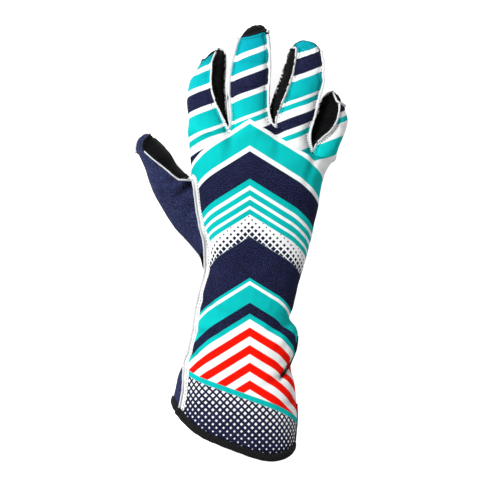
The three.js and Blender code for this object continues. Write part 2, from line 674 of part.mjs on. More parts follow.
const addSeam = (name, ...seam) => add(name, seamGeometry(...seam), materials.seam);
addSeam('back_seam', 'back_panel', panelNames.filter((name) => name !== 'back_panel'), 0, 0);
for (const name of fourchettes) {
  addSeam(name.replace('fourchette', 'palm_seam'), 'palm_panel', [name], 1.5, 1.5);
}
addSeam('thumb_seam', 'thumb_back_panel', ['thumb_front_panel'], 2.5, 3);
addSeam('thumb_base_seam', 'thumb_front_panel', ['palm_panel'], 2.5, 4);
addSeam('wrist_seam', 'palm_panel', ['cuff_under_panel'], 1.5, 1.5);
add('hem_binding', bindingGeometry(hem), materials.binding);

// The frame's origin is on the surface, below the middle of the glove
const middle = new THREE.Box3().setFromObject(glove).getCenter(new THREE.Vector3());
glove.children.forEach((mesh) => mesh.position.set(-middle.x, -middle.y, 0));

export default glove;
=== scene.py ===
"""Karting glove for the right hand, lying palm down, seen from straight above.

Metres in Blender, millimetres in the tables and helpers below (MM turns one into the other).
The glove is one closed skin with an open cuff, made from the same rings as the CAD model. It is
subdivided, creased, split into its sewn panels and given the thickness of the cloth.
"""
import math

import bmesh
import bpy
import numpy as np
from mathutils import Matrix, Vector, kdtree, noise
from mathutils.bvhtree import BVHTree


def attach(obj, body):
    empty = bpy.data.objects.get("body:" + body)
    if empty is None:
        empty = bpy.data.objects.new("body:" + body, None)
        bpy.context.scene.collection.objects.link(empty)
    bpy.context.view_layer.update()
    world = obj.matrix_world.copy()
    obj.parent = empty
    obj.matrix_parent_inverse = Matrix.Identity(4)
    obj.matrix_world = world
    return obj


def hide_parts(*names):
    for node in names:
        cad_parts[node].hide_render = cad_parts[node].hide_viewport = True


MM = 0.001
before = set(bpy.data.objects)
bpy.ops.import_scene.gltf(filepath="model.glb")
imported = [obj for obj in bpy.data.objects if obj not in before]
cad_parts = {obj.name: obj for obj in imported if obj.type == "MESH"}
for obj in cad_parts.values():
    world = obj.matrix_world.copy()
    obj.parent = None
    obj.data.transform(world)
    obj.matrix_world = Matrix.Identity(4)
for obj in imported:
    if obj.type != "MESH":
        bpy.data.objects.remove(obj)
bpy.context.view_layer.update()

# ---------------------------------------------------------------- sizes, as in the CAD model
CLOTH = 1.3  # thinner than there, because the folds and the nap stand on it
CUFF_LENGTH, HAND_LENGTH = 104, 132
CUFF_WIDTH, WRIST_WIDTH = 90, 72
CUFF_DEPTH, HAND_DEPTH = 38, 42
FLATTENED = 0.07
HEM_SLANT, HEM_BULGE = 36, 17
SHIFT = np.array([-0.31, 0.07, 0.0])  # puts the origin below the middle of the glove
WRIST_Y = -48
BACK_STRIPS, WALL_STRIPS, THUMB_STRIPS = 4, 3, 5

FINGERS = [  # name, knuckle, length, depth, heading, rows of the tip that the back covers
    ("index", 29, 60.3, 23, 5.6, 0),
    ("middle", 35, 77.4, 24, 1.4, 0),
    ("ring", 26, 74.8, 23.6, 7, 2),
    ("little", 15.5, 48.2, 21, 11.8, 0),
]
CUFF_RINGS = [  # down, slant, bulge, left, seam, right, top
    (0.94, 0.94, 1.0, -0.555, -0.495, 0.439, 1.0),
    (0.77, 0.69, 0.72, -0.53, -0.47, 0.45, 0.99),
    (0.625, 0.5, 0.5, -0.5, -0.457, 0.442, 0.97),
    (0.51, 0.36, 0.33, -0.472, -0.462, 0.428, 0.95),
    (0.405, 0.25, 0.2, -0.44, -0.43, 0.4, 0.91),
    (0.315, 0.17, 0.12, -0.422, -0.412, 0.442, 0.93),
    (0.21, 0.06, 0.06, -0.407, -0.396, 0.459, 0.9),
    (0.135, 0, 0.03, -0.396, -0.385, 0.439, 0.87),
    (0.077, 0, 0, -0.383, -0.372, 0.387, 0.83),
]
HAND_RINGS = [  # up, skew, arch, left, seam, right, base, top
    (0.0, 0, 0, -0.461, -0.447, 0.528, -0.07, 0.76),
    (0.11, 0, 0, -0.418, -0.405, 0.568, -0.07, 0.76),
    (0.235, 0, 0, -0.37, -0.352, 0.635, -0.07, 0.78),
    (0.33, 0, 0, -0.41, -0.366, 0.685, -0.07, 0.81),
    (0.425, 0, 0, -0.46, -0.404, 0.725, -0.07, 0.85),
    (0.52, 0.01, 0, -0.49, -0.442, 0.76, -0.03, 0.89),
    (0.61, 0.02, 0, -0.505, -0.467, 0.79, 0.05, 0.935),
    (0.685, 0.022, 0.005, -0.512, -0.486, 0.815, 0.1, 0.97),
    (0.74, 0.08, 0.022, -0.524, -0.5, 0.848, 0.16, 0.995),
    (0.783, 0.125, 0.055, -0.53, -0.51, 0.888, 0.22, 0.985),
]
THUMB_FROM, THUMB_TO = 2, 7
CROTCHES = [(0.972, 0.5, 0.74), (0.973, 0.46, 0.8), (0.987, 0.47, 0.81), (0.842, 0.39, 0.7),
            (0.818, 0.33, 0.56)]  # up, low, high
FIRST_CROTCH = -0.534
KNUCKLE_ARCH = 0.34
FINGER_RINGS = {  # at, side, high, wide, deep, slant, seams
    "index": [
        (0.1, -0.03, 1.12, 0.49, 0.5, 0, (-62, 58, 112, -112)),
        (0.3, -0.12, 0.94, 0.485, 0.49, 0, (-62, 30, 98, -112)),
        (0.5, -0.17, 0.73, 0.455, 0.47, 0, (-62, 14, 95, -112)),
        (0.7, -0.12, 0.53, 0.39, 0.44, 0.1, (-60, 3, 95, -108)),
        (0.9, -0.03, 0.34, 0.29, 0.34, 0.3, (-55, -4, 95, -100)),
    ],
    "middle": [
        (0.1, -0.05, 1.14, 0.4, 0.49, 0, (-66, 66, 114, -114)),
        (0.3, -0.09, 0.97, 0.4, 0.475, 0, (-67, 67, 114, -114)),
        (0.5, -0.09, 0.77, 0.412, 0.465, 0, (-67, 67, 114, -114)),
        (0.7, -0.05, 0.56, 0.377, 0.45, 0, (-66, 66, 114, -114)),
        (0.91, -0.03, 0.34, 0.285, 0.34, 0.33, (-62, 62, 112, -112)),
    ],
    "ring": [
        (0.13, -0.135, 1.13, 0.5, 0.49, -0.3, (-56, 70, 120, -104)),
        (0.3, -0.12, 0.99, 0.59, 0.48, -0.08, (-38, 74, 122, -98)),
        (0.46, -0.07, 0.83, 0.565, 0.475, 0, (-31, 76, 122, -96)),
        (0.62, 0.02, 0.67, 0.55, 0.465, 0, (-30, 76, 122, -96)),
        (0.76, 0.04, 0.52, 0.505, 0.44, 0, (-32, 74, 122, -96)),
        (0.91, 0.035, 0.34, 0.385, 0.345, 0, (-40, 66, 118, -98)),
    ],
    "little": [
        (0.16, -0.04, 0.98, 0.63, 0.49, -0.2, (-36, 72, 128, -100)),
        (0.35, 0.0, 0.83, 0.72, 0.485, 0, (0, 80, 136, -84)),
        (0.54, 0.07, 0.65, 0.73, 0.47, 0, (14, 82, 140, -78)),
        (0.72, 0.08, 0.5, 0.65, 0.43, -0.1, (18, 82, 140, -76)),
        (0.87, 0.03, 0.34, 0.47, 0.35, -0.25, (20, 80, 138, -74)),
    ],
}
THUMB_LENGTH, THUMB_WIDTH, THUMB_DEPTH, THUMB_HEADING = 38, 29, 25, -27.6
THUMB_BASE = (-53, 44)
THUMB_LEAD_RINGS, LEAD_EASE, LEAD_BULGE = 4, 0.6, 2.3
THUMB_RINGS = [  # at, side, high, wide, deep, seams
    (0.0, 0.0, 0.62, 0.475, 0.49, (-66, 20, 84, -120)),
    (0.25, -0.03, 0.57, 0.41, 0.46, (-74, 10, 88, -126)),
    (0.5, 0.0, 0.5, 0.365, 0.42, (-84, -12, 88, -134)),
    (0.79, -0.05, 0.33, 0.3, 0.34, (-94, -30, 86, -142)),
]
FINGER_SQUARENESS, HAND_SQUARENESS, WIDEST = 2.25, 2.35, 0.42
RIGHT_WALL_TOP, RIGHT_WALL_LOW, LEFT_WALL_LOW = 28, -30, 198


# ---------------------------------------------------------------- the skin's rings
def power(value, exponent):
    return math.copysign(abs(value) ** exponent, value)


def sind(angle):
    return math.sin(math.radians(angle))


def cosd(angle):
    return math.cos(math.radians(angle))


def mix(a, b, t):
    return a + (b - a) * t


def spread(count, start, end):
    return [mix(start, end, i / count) for i in range(count + 1)]


points = []  # x, y, z, print_u, print_v
quads = []
quad_panels = []
fingertips = []
PANELS = []


def panel_id(name):
    if name not in PANELS:
        PANELS.append(name)
    return PANELS.index(name)


def add_point(x, y, z, u=None):
    points.append((x, y, max(z, 0), x if u is None else u, y))
    return len(points) - 1


def xyz(index):
    return np.array(points[index][:3])


def add_strips(lower, upper, panel_of):
    count = len(lower)
    for k in range(count):
        name = panel_of(k)
        if name:
            n = (k + 1) % count
            quads.append((lower[k], lower[n], upper[n], upper[k]))
            quad_panels.append(panel_id(name))


HAND_BACK = len(FINGERS) * BACK_STRIPS
crotch_x = [FIRST_CROTCH * WRIST_WIDTH]
for finger in FINGERS:
    crotch_x.append(crotch_x[-1] + finger[1])
knuckle_share = [(x - crotch_x[0]) / (crotch_x[-1] - crotch_x[0]) for x in crotch_x]


def across_hand(k, towards):
    finger = min(k // BACK_STRIPS, len(FINGERS) - 1)
    within = k / BACK_STRIPS - finger
    matched = mix(knuckle_share[finger], knuckle_share[finger + 1], within)
    return mix(k / HAND_BACK, matched, towards)


def hand_ring(left, seam, right, left_y, right_y, bulge, base, top, towards):
    middle_x, half = (left + right) / 2, (right - left) / 2
    middle_z = mix(base, top, WIDEST)
    e = 2 / HAND_SQUARENESS

    def at(angle):
        lift = power(sind(angle), e)
        return (middle_x + half * power(cosd(angle), e),
                middle_z + lift * ((top - middle_z) if lift > 0 else (middle_z - base)))

    def height_share(x):
        edge = min(0.999, abs((x - middle_x) / half))
        return (1 - edge ** HAND_SQUARENESS) ** (1 / HAND_SQUARENESS)

    def add(x, z):
        share = min(max((x - left) / (right - left), 0), 1)
        fullness = 1 - (2 * share - 1) ** 4
        wrap = 0.85 * max(top - z - 4, 0) * (1 if x > middle_x else -1)
        return add_point(x, mix(left_y, right_y, share) - bulge * fullness, z, x + wrap)

    right_top, right_low, left_low = at(RIGHT_WALL_TOP), at(RIGHT_WALL_LOW), at(LEFT_WALL_LOW)
    seam_angle = 180 - math.degrees(math.asin(min(0.999, height_share(seam) ** (1 / e))))
    ring = []
    for k in range(HAND_BACK):
        x = mix(seam, right_top[0], across_hand(k, towards))
        ring.append(add(x, middle_z + (top - middle_z) * height_share(x)))
    for angle in spread(WALL_STRIPS, RIGHT_WALL_TOP, RIGHT_WALL_LOW)[:-1]:
        ring.append(add(*at(angle)))
    for k in range(HAND_BACK, 0, -1):
        x = mix(left_low[0], right_low[0], across_hand(k, towards))
        ring.append(add(x, middle_z - (middle_z - base) * height_share(x)))
    for angle in spread(WALL_STRIPS, LEFT_WALL_LOW, seam_angle)[:-1]:
        ring.append(add(*at(angle)))
    return ring


hand_rings = [
    hand_ring(left * CUFF_WIDTH, seam * CUFF_WIDTH, right * CUFF_WIDTH,
              WRIST_Y - down * CUFF_LENGTH + slant * HEM_SLANT, WRIST_Y - down * CUFF_LENGTH,
              bulge * HEM_BULGE, -FLATTENED * CUFF_DEPTH, top * CUFF_DEPTH, 0)
    for down, slant, bulge, left, seam, right, top in CUFF_RINGS
] + [
    hand_ring(left * WRIST_WIDTH, seam * WRIST_WIDTH, right * WRIST_WIDTH,
              WRIST_Y + (up + skew) * HAND_LENGTH, WRIST_Y + up * HAND_LENGTH,
              -arch * HAND_LENGTH, base * HAND_DEPTH, top * HAND_DEPTH, up)
    for up, skew, arch, left, seam, right, base, top in HAND_RINGS
]
thumb_from, thumb_to = len(CUFF_RINGS) + THUMB_FROM, len(CUFF_RINGS) + THUMB_TO

crotch_walls = [
    [add_point(crotch_x[i], WRIST_Y + up * HAND_LENGTH, z * HAND_DEPTH)
     for z in spread(WALL_STRIPS, high, low)]
    for i, (up, low, high) in enumerate(CROTCHES)]


def knuckle_arc(start, end, depth, direction):
    a, b = xyz(start), xyz(end)
    arc = []
    for k in range(1, BACK_STRIPS):
        share = k / BACK_STRIPS
        p = mix(a, b, share)
        rise = direction * KNUCKLE_ARCH * depth * math.sin(math.pi * share) ** 0.7
        arc.append(add_point(p[0], p[1], p[2] + rise))
    return arc


knuckles = [(knuckle_arc(crotch_walls[i][0], crotch_walls[i + 1][0], depth, 1),
             knuckle_arc(crotch_walls[i + 1][-1], crotch_walls[i][-1], depth, -1))
            for i, depth in enumerate(finger[3] for finger in FINGERS)]

root_ring = []
for i in range(len(FINGERS)):
    root_ring += [crotch_walls[i][0], *knuckles[i][0]]
root_ring += crotch_walls[-1][:-1]
for i in reversed(range(len(FINGERS))):
    root_ring += [crotch_walls[i + 1][-1], *knuckles[i][1]]
root_ring += crotch_walls[0][:0:-1]
hand_rings.append(root_ring)


def hand_section(row, k):
    if k < HAND_BACK + WALL_STRIPS:
        return "back_panel"
    if k < 2 * HAND_BACK + WALL_STRIPS:
        return "cuff_under_panel" if row < thumb_from else "palm_panel"
    if row < thumb_from:
        return "cuff_under_panel"
    return None if row < thumb_to else "back_panel"


for row in range(len(hand_rings) - 1):
    add_strips(hand_rings[row], hand_rings[row + 1], lambda k, row=row: hand_section(row, k))


def directions(heading):
    """Unit vectors along and across a finger, in plan."""
    return (np.array([sind(heading), cosd(heading), 0]),
            np.array([cosd(heading), -sind(heading), 0]))


def placer(base, heading, length, width, depth):
    """A function that finds a finger's points by shares of its sizes."""
    along, across = directions(heading)

    def place(at, side, high):
        x, y, _ = np.array([*base, 0]) + along * at * length + across * side * width
        return np.array([x, y, high * depth])
    return place


def tube_ring(centre, heading, slant, half_width, half_depth, angles):
    e = 2 / FINGER_SQUARENESS
    along, across = directions(heading)
    ring = []
    for angle in angles:
        u = half_width * power(sind(angle), e)
        v = half_depth * power(cosd(angle), e)
        p = centre + across * u + along * slant * u
        wrap = 0.45 * (half_depth - v) * (1 if u > 0 else -1)
        ring.append(add_point(p[0], p[1], p[2] + v, p[0] + wrap))
    return ring


def tube_angles(seams, strips):
    back_left, back_right, palm_right, palm_left = seams
    return (spread(strips, back_left, back_right)[:-1]
            + spread(WALL_STRIPS, back_right, palm_right)[:-1]
            + spread(strips, palm_right, palm_left + 360)[:-1]
            + spread(WALL_STRIPS, palm_left, back_left)[:-1])


def add_tip(ring, strips, tip, name, back_rows=0):
    centre = np.mean([xyz(i) for i in ring], axis=0)
    reach = tip - centre
    fingertips.append(tip + SHIFT)
    right = ring[strips:strips + WALL_STRIPS + 1]
    palm = ring[strips + WALL_STRIPS:2 * strips + WALL_STRIPS + 1][::-1]
    left = [ring[0]] + ring[2 * strips + WALL_STRIPS:][::-1]
    rows = [ring[:strips + 1]]
    for r in range(1, WALL_STRIPS):
        row = [left[r]]
        for c in range(1, strips):
            down, share = r / WALL_STRIPS, c / strips
            p = mix(xyz(rows[0][c]), xyz(palm[c]), down)
            p = mix(p, mix(xyz(left[r]), xyz(right[r]), share), 0.5)
            dome = (math.sin(math.pi * down) * math.sin(math.pi * share)) ** 0.5
            row.append(add_point(*(p + reach * dome)))
        rows.append(row + [right[r]])
    rows.append(palm)
    for r in range(WALL_STRIPS):
        for c in range(strips):
            quads.append((rows[r][c], rows[r][c + 1], rows[r + 1][c + 1], rows[r + 1][c]))
            quad_panels.append(panel_id("back_panel" if r < back_rows else name))


def finger_section(i, k):
    if k < BACK_STRIPS:
        return "back_panel"
    if k < BACK_STRIPS + WALL_STRIPS:
        return "back_panel" if i + 1 == len(FINGERS) else (
            f"fourchette_{FINGERS[i][0]}_{FINGERS[i + 1][0]}")
    if k < 2 * BACK_STRIPS + WALL_STRIPS:
        return "palm_panel"
    return "back_panel" if i == 0 else f"fourchette_{FINGERS[i - 1][0]}_{FINGERS[i][0]}"


for i, (name, knuckle, length, depth, heading, back_rows) in enumerate(FINGERS):
    place = placer(((crotch_x[i] + crotch_x[i + 1]) / 2,
                    WRIST_Y + (CROTCHES[i][0] + CROTCHES[i + 1][0]) / 2 * HAND_LENGTH),
                   heading, length, knuckle, depth)
    lower = ([crotch_walls[i][0], *knuckles[i][0]] + crotch_walls[i + 1][:-1]
             + [crotch_walls[i + 1][-1], *knuckles[i][1]] + crotch_walls[i][:0:-1])
    for at, side, high, wide, deep, slant, seams in FINGER_RINGS[name]:
        upper = tube_ring(place(at, side, high), heading, slant, wide * knuckle, deep * depth,
                          tube_angles(seams, BACK_STRIPS))
        add_strips(lower, upper, lambda k, i=i: finger_section(i, k))
        lower = upper
    add_tip(lower, BACK_STRIPS, place(1, side, high * 0.95), "palm_panel", back_rows)

left_index = 2 * HAND_BACK + WALL_STRIPS
opening_rows = hand_rings[thumb_from:thumb_to + 1]
opening = ([ring[0] for ring in opening_rows] + opening_rows[-1][:left_index:-1]
           + [ring[left_index] for ring in opening_rows[::-1]]
           + opening_rows[0][left_index + 1:])


thumb_place = placer(THUMB_BASE, THUMB_HEADING, THUMB_LENGTH, THUMB_WIDTH, THUMB_DEPTH)
thumb_rings = [
    tube_ring(thumb_place(at, side, high), THUMB_HEADING, 0, wide * THUMB_WIDTH,
              deep * THUMB_DEPTH, tube_angles(seams, THUMB_STRIPS))
    for at, side, high, wide, deep, seams in THUMB_RINGS]
thumb_centre = thumb_place(*THUMB_RINGS[0][:3])
outward = -directions(THUMB_HEADING)[1]
lead_rings = []
for share in spread(THUMB_LEAD_RINGS, 0, 1)[1:-1]:
    along = share ** LEAD_EASE
    ring = []
    for a, b in zip(opening, thumb_rings[0]):
        outer = max(float((xyz(b) - thumb_centre) @ outward), 0) / (THUMB_RINGS[0][3] * THUMB_WIDTH)
        bulge = LEAD_BULGE * outer * math.sin(math.pi * share)
        ring.append(add_point(*(mix(xyz(a), xyz(b), along) + outward * bulge)))
    lead_rings.append(ring)
thumb_stack = [opening] + lead_rings + thumb_rings
for lower, upper in zip(thumb_stack, thumb_stack[1:]):
    add_strips(lower, upper, lambda k: (
        "thumb_back_panel" if k < THUMB_STRIPS or k >= 2 * THUMB_STRIPS + WALL_STRIPS
        else "thumb_front_panel"))
add_tip(thumb_stack[-1], THUMB_STRIPS, thumb_place(1, THUMB_RINGS[-1][1], THUMB_RINGS[-1][2]),
        "thumb_front_panel")


# ---------------------------------------------------------------- subdivision
def face_sides(faces):
    """The sides of all faces, as rows of two corners, each in its face's own direction."""
    return np.stack([faces, np.roll(faces, -1, axis=1)], axis=2).reshape(-1, 2)


def unit(rows):
    return rows / np.maximum(np.linalg.norm(rows, axis=1, keepdims=True), 1e-9)


def subdivide(P, Q, tag):
    """One Catmull-Clark step on quads; every column of P is smoothed alike."""
    face_points = P[Q].mean(axis=1)
    ends = face_sides(Q)
    edges, inverse = np.unique(np.sort(ends, axis=1), axis=0, return_inverse=True)
    inverse = inverse.reshape(-1)
    uses = np.bincount(inverse, minlength=len(edges))
    face_sum = np.zeros((len(edges), P.shape[1]))
    np.add.at(face_sum, inverse, np.repeat(face_points, 4, axis=0))
    middles = P[edges].mean(axis=1)
    rim = uses == 1
    edge_points = np.where(rim[:, None], middles, (2 * middles + face_sum) / 4)
    valence = np.bincount(edges.reshape(-1), minlength=len(P))
    around = np.zeros_like(P)
    np.add.at(around, edges[:, 0], middles)
    np.add.at(around, edges[:, 1], middles)
    faces = np.zeros_like(P)
    np.add.at(faces, Q.reshape(-1), np.repeat(face_points, 4, axis=0))
    face_count = np.maximum(np.bincount(Q.reshape(-1), minlength=len(P)), 1)
    n = np.maximum(valence, 3)[:, None]
    inner = (faces / face_count[:, None] + 2 * around / n + (n - 3) * P) / n
    rim_sum = np.zeros_like(P)
    np.add.at(rim_sum, edges[rim, 0], middles[rim])
    np.add.at(rim_sum, edges[rim, 1], middles[rim])
    on_rim = np.zeros(len(P), bool)
    on_rim[edges[rim].reshape(-1)] = True
    vertex_points = np.where(on_rim[:, None], rim_sum / 4 + P / 2, inner)
    e = len(P) + inverse.reshape(-1, 4)
    f = (len(P) + len(edges) + np.arange(len(Q)))[:, None]
    corners = np.stack([Q, e, np.repeat(f, 4, axis=1), np.roll(e, 1, axis=1)], axis=2)
    return (np.concatenate([vertex_points, edge_points, face_points]),
            corners.reshape(-1, 4), np.repeat(tag, 4))


def surface_normals(P, Q):
    a, b, c, d = (P[Q[:, k], :3] for k in range(4))
    face = np.cross(c - a, d - b)
    result = np.zeros((len(P), 3))
    np.add.at(result, Q.reshape(-1), np.repeat(face, 4, axis=0))
    return unit(result)


FITTING_ROUNDS, FITTING_STEP, SUBDIVISIONS = 3, 0.8, 3
cage = np.array(points, float)
cage_quads = np.array(quads)
cage_panels = np.array(quad_panels)
target = cage.copy()
for _ in range(FITTING_ROUNDS):  # move the cage out until the smooth skin meets the rings
    P, _, _ = subdivide(*subdivide(cage, cage_quads, cage_panels))
    cage += FITTING_STEP * (target - P[:len(cage)])
P, Q, panel = cage, cage_quads, cage_panels
for _ in range(SUBDIVISIONS):
    P, Q, panel = subdivide(P, Q, panel)
P[:, :3] += SHIFT
P[:, 2] = np.maximum(P[:, 2], 0)
N = surface_normals(P, Q)

# Where the photographed seams leave the CAD model's rows of panels: at two fingertips the side
# strip reaches over the top, the back covers more of the index's tip, the navy panel rims the
# thumb's tip, and the thumb's seam dips before it meets the back.
# Each row: panel given, panels taken, lowest y, x from and to, then lines (x0, y0, x1, y1) that
# it lies to the right of.
TIP_CUTS = [
    ("thumb_back_panel", ("thumb_front_panel",), 66, -80, -60, ((-71.4, 75.5, -72.6, 66.0),)),
    ("thumb_back_panel", ("thumb_front_panel",), 66, -80, -60, ((-66.0, 79.2, -72.6, 72.4),)),
    ("thumb_front_panel", ("thumb_back_panel",), 42, -62, -36,
     ((-51.8, 49.4, -59.6, 56.0), (-45.9, 45.0, -51.8, 49.4), (-37.2, 44.6, -45.9, 45.0))),
    ("fourchette_index_middle", ("back_panel", "palm_panel"), 99, -30, -8,
     ((-24.0, 126.0, -17.6, 141.5), (-6, 129, -30, 129))),
    ("back_panel", ("palm_panel",), 125, -40, -14, ((-32.5, 128.0, -20.5, 138.4),)),
    ("fourchette_ring_little", ("back_panel", "palm_panel"), 99, 58, 71,
     ((67.2, 108.5, 69.2, 99.0), (80, 100, 58, 100))),
]
middles = P[Q, :3].mean(axis=1)
facing = N[Q].mean(axis=1)[:, 2] > -0.15  # up, or nearly
for name, taken, lowest, x_from, x_to, lines in TIP_CUTS:
    inside = facing & (middles[:, 0] > x_from) & (middles[:, 0] < x_to) & (middles[:, 1] > lowest)
    inside &= np.isin(panel, [PANELS.index(one) for one in taken])
    for x0, y0, x1, y1 in lines:
        inside &= (x1 - x0) * (middles[:, 1] - y0) - (y1 - y0) * (middles[:, 0] - x0) < 0
    panel[inside] = PANELS.index(name)


def panel_quads(name):
    return Q[panel == PANELS.index(name)]


def surface(faces):
    """A tree for finding points on some of the skin's faces."""
    return BVHTree.FromPolygons([Vector(p) for p in P[:, :3]], faces.tolist())


# ---------------------------------------------------------------- seam lines
def walk(follow, start):
    """The chain from a point on, until it ends or comes back to the point."""
    chain = [start]
    while chain[-1] in follow:
        chain.append(follow[chain[-1]])
        if chain[-1] == start:
            break
    return chain


def open_sides(faces):
    """The sides that no other face shares."""
    ends = [tuple(side) for side in face_sides(faces).tolist()]
    known = set(ends)
    return [(a, b) for a, b in ends if (b, a) not in known]


def seam_chain(one, others):
    """Ordered points along the edges that a panel shares with the others, panel on the left."""
    mine = {(a, b) for a, b in face_sides(panel_quads(one)).tolist()}
    theirs = {(b, a) for name in others for a, b in face_sides(panel_quads(name)).tolist()}
    follow = dict(mine & theirs)
    starts = set(follow) - set(follow.values())
    return np.array(walk(follow, min(starts) if starts else min(follow)))


FOURCHETTES = [name for name in PANELS if name.startswith("fourchette")]
SEAMS = {"back_seam": seam_chain("back_panel", [n for n in PANELS if n != "back_panel"])}
for name in FOURCHETTES:
    SEAMS[name.replace("fourchette", "palm_seam")] = seam_chain("palm_panel", [name])
SEAMS["thumb_seam"] = seam_chain("thumb_back_panel", ["thumb_front_panel"])
SEAMS["thumb_base_seam"] = seam_chain("thumb_front_panel", ["palm_panel"])
SEAMS["wrist_seam"] = seam_chain("palm_panel", ["cuff_under_panel"])


def distance_to(indices, where):
    tree = kdtree.KDTree(len(indices))
    for i, index in enumerate(indices):
        tree.insert(P[index, :3], i)
    tree.balance()
    return np.array([tree.find(p)[2] for p in where])


seam_distance = distance_to(np.unique(np.concatenate(list(SEAMS.values()))), P[:, :3])
left_part = [i for i in SEAMS["back_seam"] if P[i, 0] < -20 and P[i, 1] < 60]
# The unprinted strip along that seam widens over its fold, and at the wrist
STRIP = [(-112, 3.1), (-103, 2.6), (-92, 4.2), (-84, 2.8), (-64, 4.4), (-48, 3.7), (-17, 3.2),
         (-4, 5.6), (1, 5.8), (7, 4.6), (13, 3.4), (45, 2.9)]  # y, width
left_distance = distance_to(left_part, P[:, :3]) - np.interp(P[:, 1], *zip(*STRIP))

# ---------------------------------------------------------------- folds
# Each fold is a valley (depth below 0) or ridge along a line in plan, in millimetres, on the
# side of the glove that faces up.
FOLDS = [  # x0, y0, x1, y1, depth, width
    (44, -56, 18, -64, -1.8, 2.8),
    (46, -64, 14, -78, 1.2, 4.0),
    (41.5, -70, 38, -85, -3.4, 1.4),
    (38, -85, 27.7, -100.7, -3.0, 1.3),
    (40, -92, 10, -106, -1.5, 3.0),
    (42, -112, 26, -124, -0.9, 3.0),
    (-34, -40, -6, -52, -1.0, 3.0),
    (-35, -64, -8, -68, -0.9, 3.0),
    (-38, -82, -14, -80, -0.8, 3.0),
    (-10, 79, -12, 58, -1.2, 3.6),
    (26, 80, 24, 58, -1.2, 3.6),
    (52, 60, 46, 42, -1.2, 3.6),
    (-38, 44, -24, 24, -1.0, 4.0),
    (-38, 41, -50, 31, -2.0, 2.4),
    (-41, 44, -56, 37, 1.0, 2.2),
    (-44, 47, -62, 42, -1.2, 2.4),
    (-36, 26, -46, 12, -1.0, 2.6),
    (-58, 56, -72, 54, -0.9, 2.0),
    (-31, 3, -26.5, -9, 1.2, 1.6),
    (-27.5, 4, -24.5, -10, -1.0, 1.2),
    (43, 141.5, 47, 138.5, -0.8, 0.7),
    (47, 138.5, 50, 140.5, -0.7, 0.7),
    (50, 140.5, 55, 135.5, -0.8, 0.7),
    (44.5, 143.5, 50, 142.5, -0.6, 0.7),
    (15, 151, 20, 143, -0.8, 0.9),
]
BENDS = [  # the creases across the back of each finger: x, y, half length, heading, depth
    (-23, 104, 11, 5, -0.7), (-19, 121, 9, 5, -0.6),
    (6, 112, 12, 1, -0.6), (8, 132, 11, 1, -0.6),
    (39, 105, 12, 7, -0.7), (44, 124, 11, 7, -0.6),
    (68, 86, 8, 12, -0.6),
]


BEND_WIDTH = 1.8
FADE = 1.25  # a fold's depth falls off over its last part
# Painted shade in the folds: full at the first depth, growing with the second as a power
DARKEST, DARKENING = 2.4, 1.3  # depth of the darkest folds, and how fast they darken
# Painted shade where the cuff's bulge turns under itself: its steep side along the edge is darkened
BULGE_EDGE, BULGE_EDGE_WIDTH = ((44, -67, 42.5, -80), (42.5, -80, 38.5, -88)), 1.8
# The index finger's right side lies a little further in than the CAD model's
INDEX_SIDE, INDEX_SIDE_IN, INDEX_SIDE_WIDTH = (-9.5, 137, -9.5, 86), 2.4, 7
RESTING = 4  # the underside stays flat up to this height
BILLOW, RIPPLE = 0.7, 0.3
SEAM_TURN, SEAM_TURN_WIDTH = 0.9, 1.5  # the cloth turns up into the seams
PUCKER, PUCKER_WIDTH = 0.34, 5
STITCH_PULL, STITCH_INSET, STITCH_PULL_WIDTH = 0.4, 2.5, 0.6
CRUMPLE, CRUMPLE_WIDTH = 0.75, 9  # at the fingertips
LUMPS = 0.6  # on the side strips' brushed cloth
THINNEST, THINNING_WIDTH = 0.1, 4  # the cloth's share and the reach, beside a tight turn


def bell(distance, width):
    return np.exp(-(distance / width) ** 2)


def noise_at(size, shift=(0, 0, 0)):
    return np.array([noise.noise(p) for p in (P[:, :3] / size + shift).tolist()])


def segment_distance(x0, y0, x1, y1):
    """Each point's distance in plan from a line's nearest point, and how far along that is."""
    d = np.array([x1 - x0, y1 - y0], float)
    t = np.clip(((P[:, :2] - (x0, y0)) @ d) / (d @ d), 0, 1)
    return np.linalg.norm(P[:, :2] - (np.array([x0, y0]) + t[:, None] * d), axis=1), t


upward = np.clip(N[:, 2] * 1.6, 0, 1)
offset = np.zeros(len(P))
for *line, depth, width in FOLDS:
    away, t = segment_distance(*line)
    offset += depth * bell(away, width) * np.clip(FADE - t, 0, 1) * upward
for x, y, half, heading, depth in BENDS:
    dx, dy = half * cosd(heading), -half * sind(heading)
    away, _ = segment_distance(x - dx, y - dy, x + dx, y + dy)
    offset += depth * bell(away, BEND_WIDTH) * upward
# Painted shade: the cloth's colour darkens with the depth of its folds
painted_shade = np.clip(-offset / DARKEST, 0, 1) ** DARKENING  # how dark the cloth is in its folds
# Painted shade on the steep faces along the cuff bulge's edge
for line in BULGE_EDGE:
    away, _ = segment_distance(*line)
    painted_shade = np.maximum(painted_shade, bell(away, BULGE_EDGE_WIDTH) * np.clip(1.1 - 1.6 * N[:, 2], 0, 1))
away, t = segment_distance(*INDEX_SIDE)
offset -= (INDEX_SIDE_IN * bell(away, INDEX_SIDE_WIDTH) * np.clip(FADE - t, 0, 1)
           * np.clip(N[:, 0], 0, 1))
resting = np.clip(P[:, 2] / RESTING, 0, 1)
offset += (BILLOW * noise_at(17) + RIPPLE * noise_at((4.5, 9, 5), (0, 0, 40))) * resting
offset += SEAM_TURN * bell(seam_distance, SEAM_TURN_WIDTH) * resting
offset += PUCKER * noise_at(2.6, (0, 0, 90)) * bell(seam_distance, PUCKER_WIDTH) * resting
offset -= STITCH_PULL * bell(seam_distance - STITCH_INSET, STITCH_PULL_WIDTH) * resting
tip_distance = np.min([np.linalg.norm(P[:, :3] - tip, axis=1) for tip in fingertips], axis=0)
offset += CRUMPLE * noise_at(1.7, (9, 0, 0)) * bell(tip_distance, CRUMPLE_WIDTH)
rough = np.zeros(len(P), bool)
for name in FOURCHETTES:
    rough[panel_quads(name).reshape(-1)] = True
offset += LUMPS * noise_at(1.5) * rough
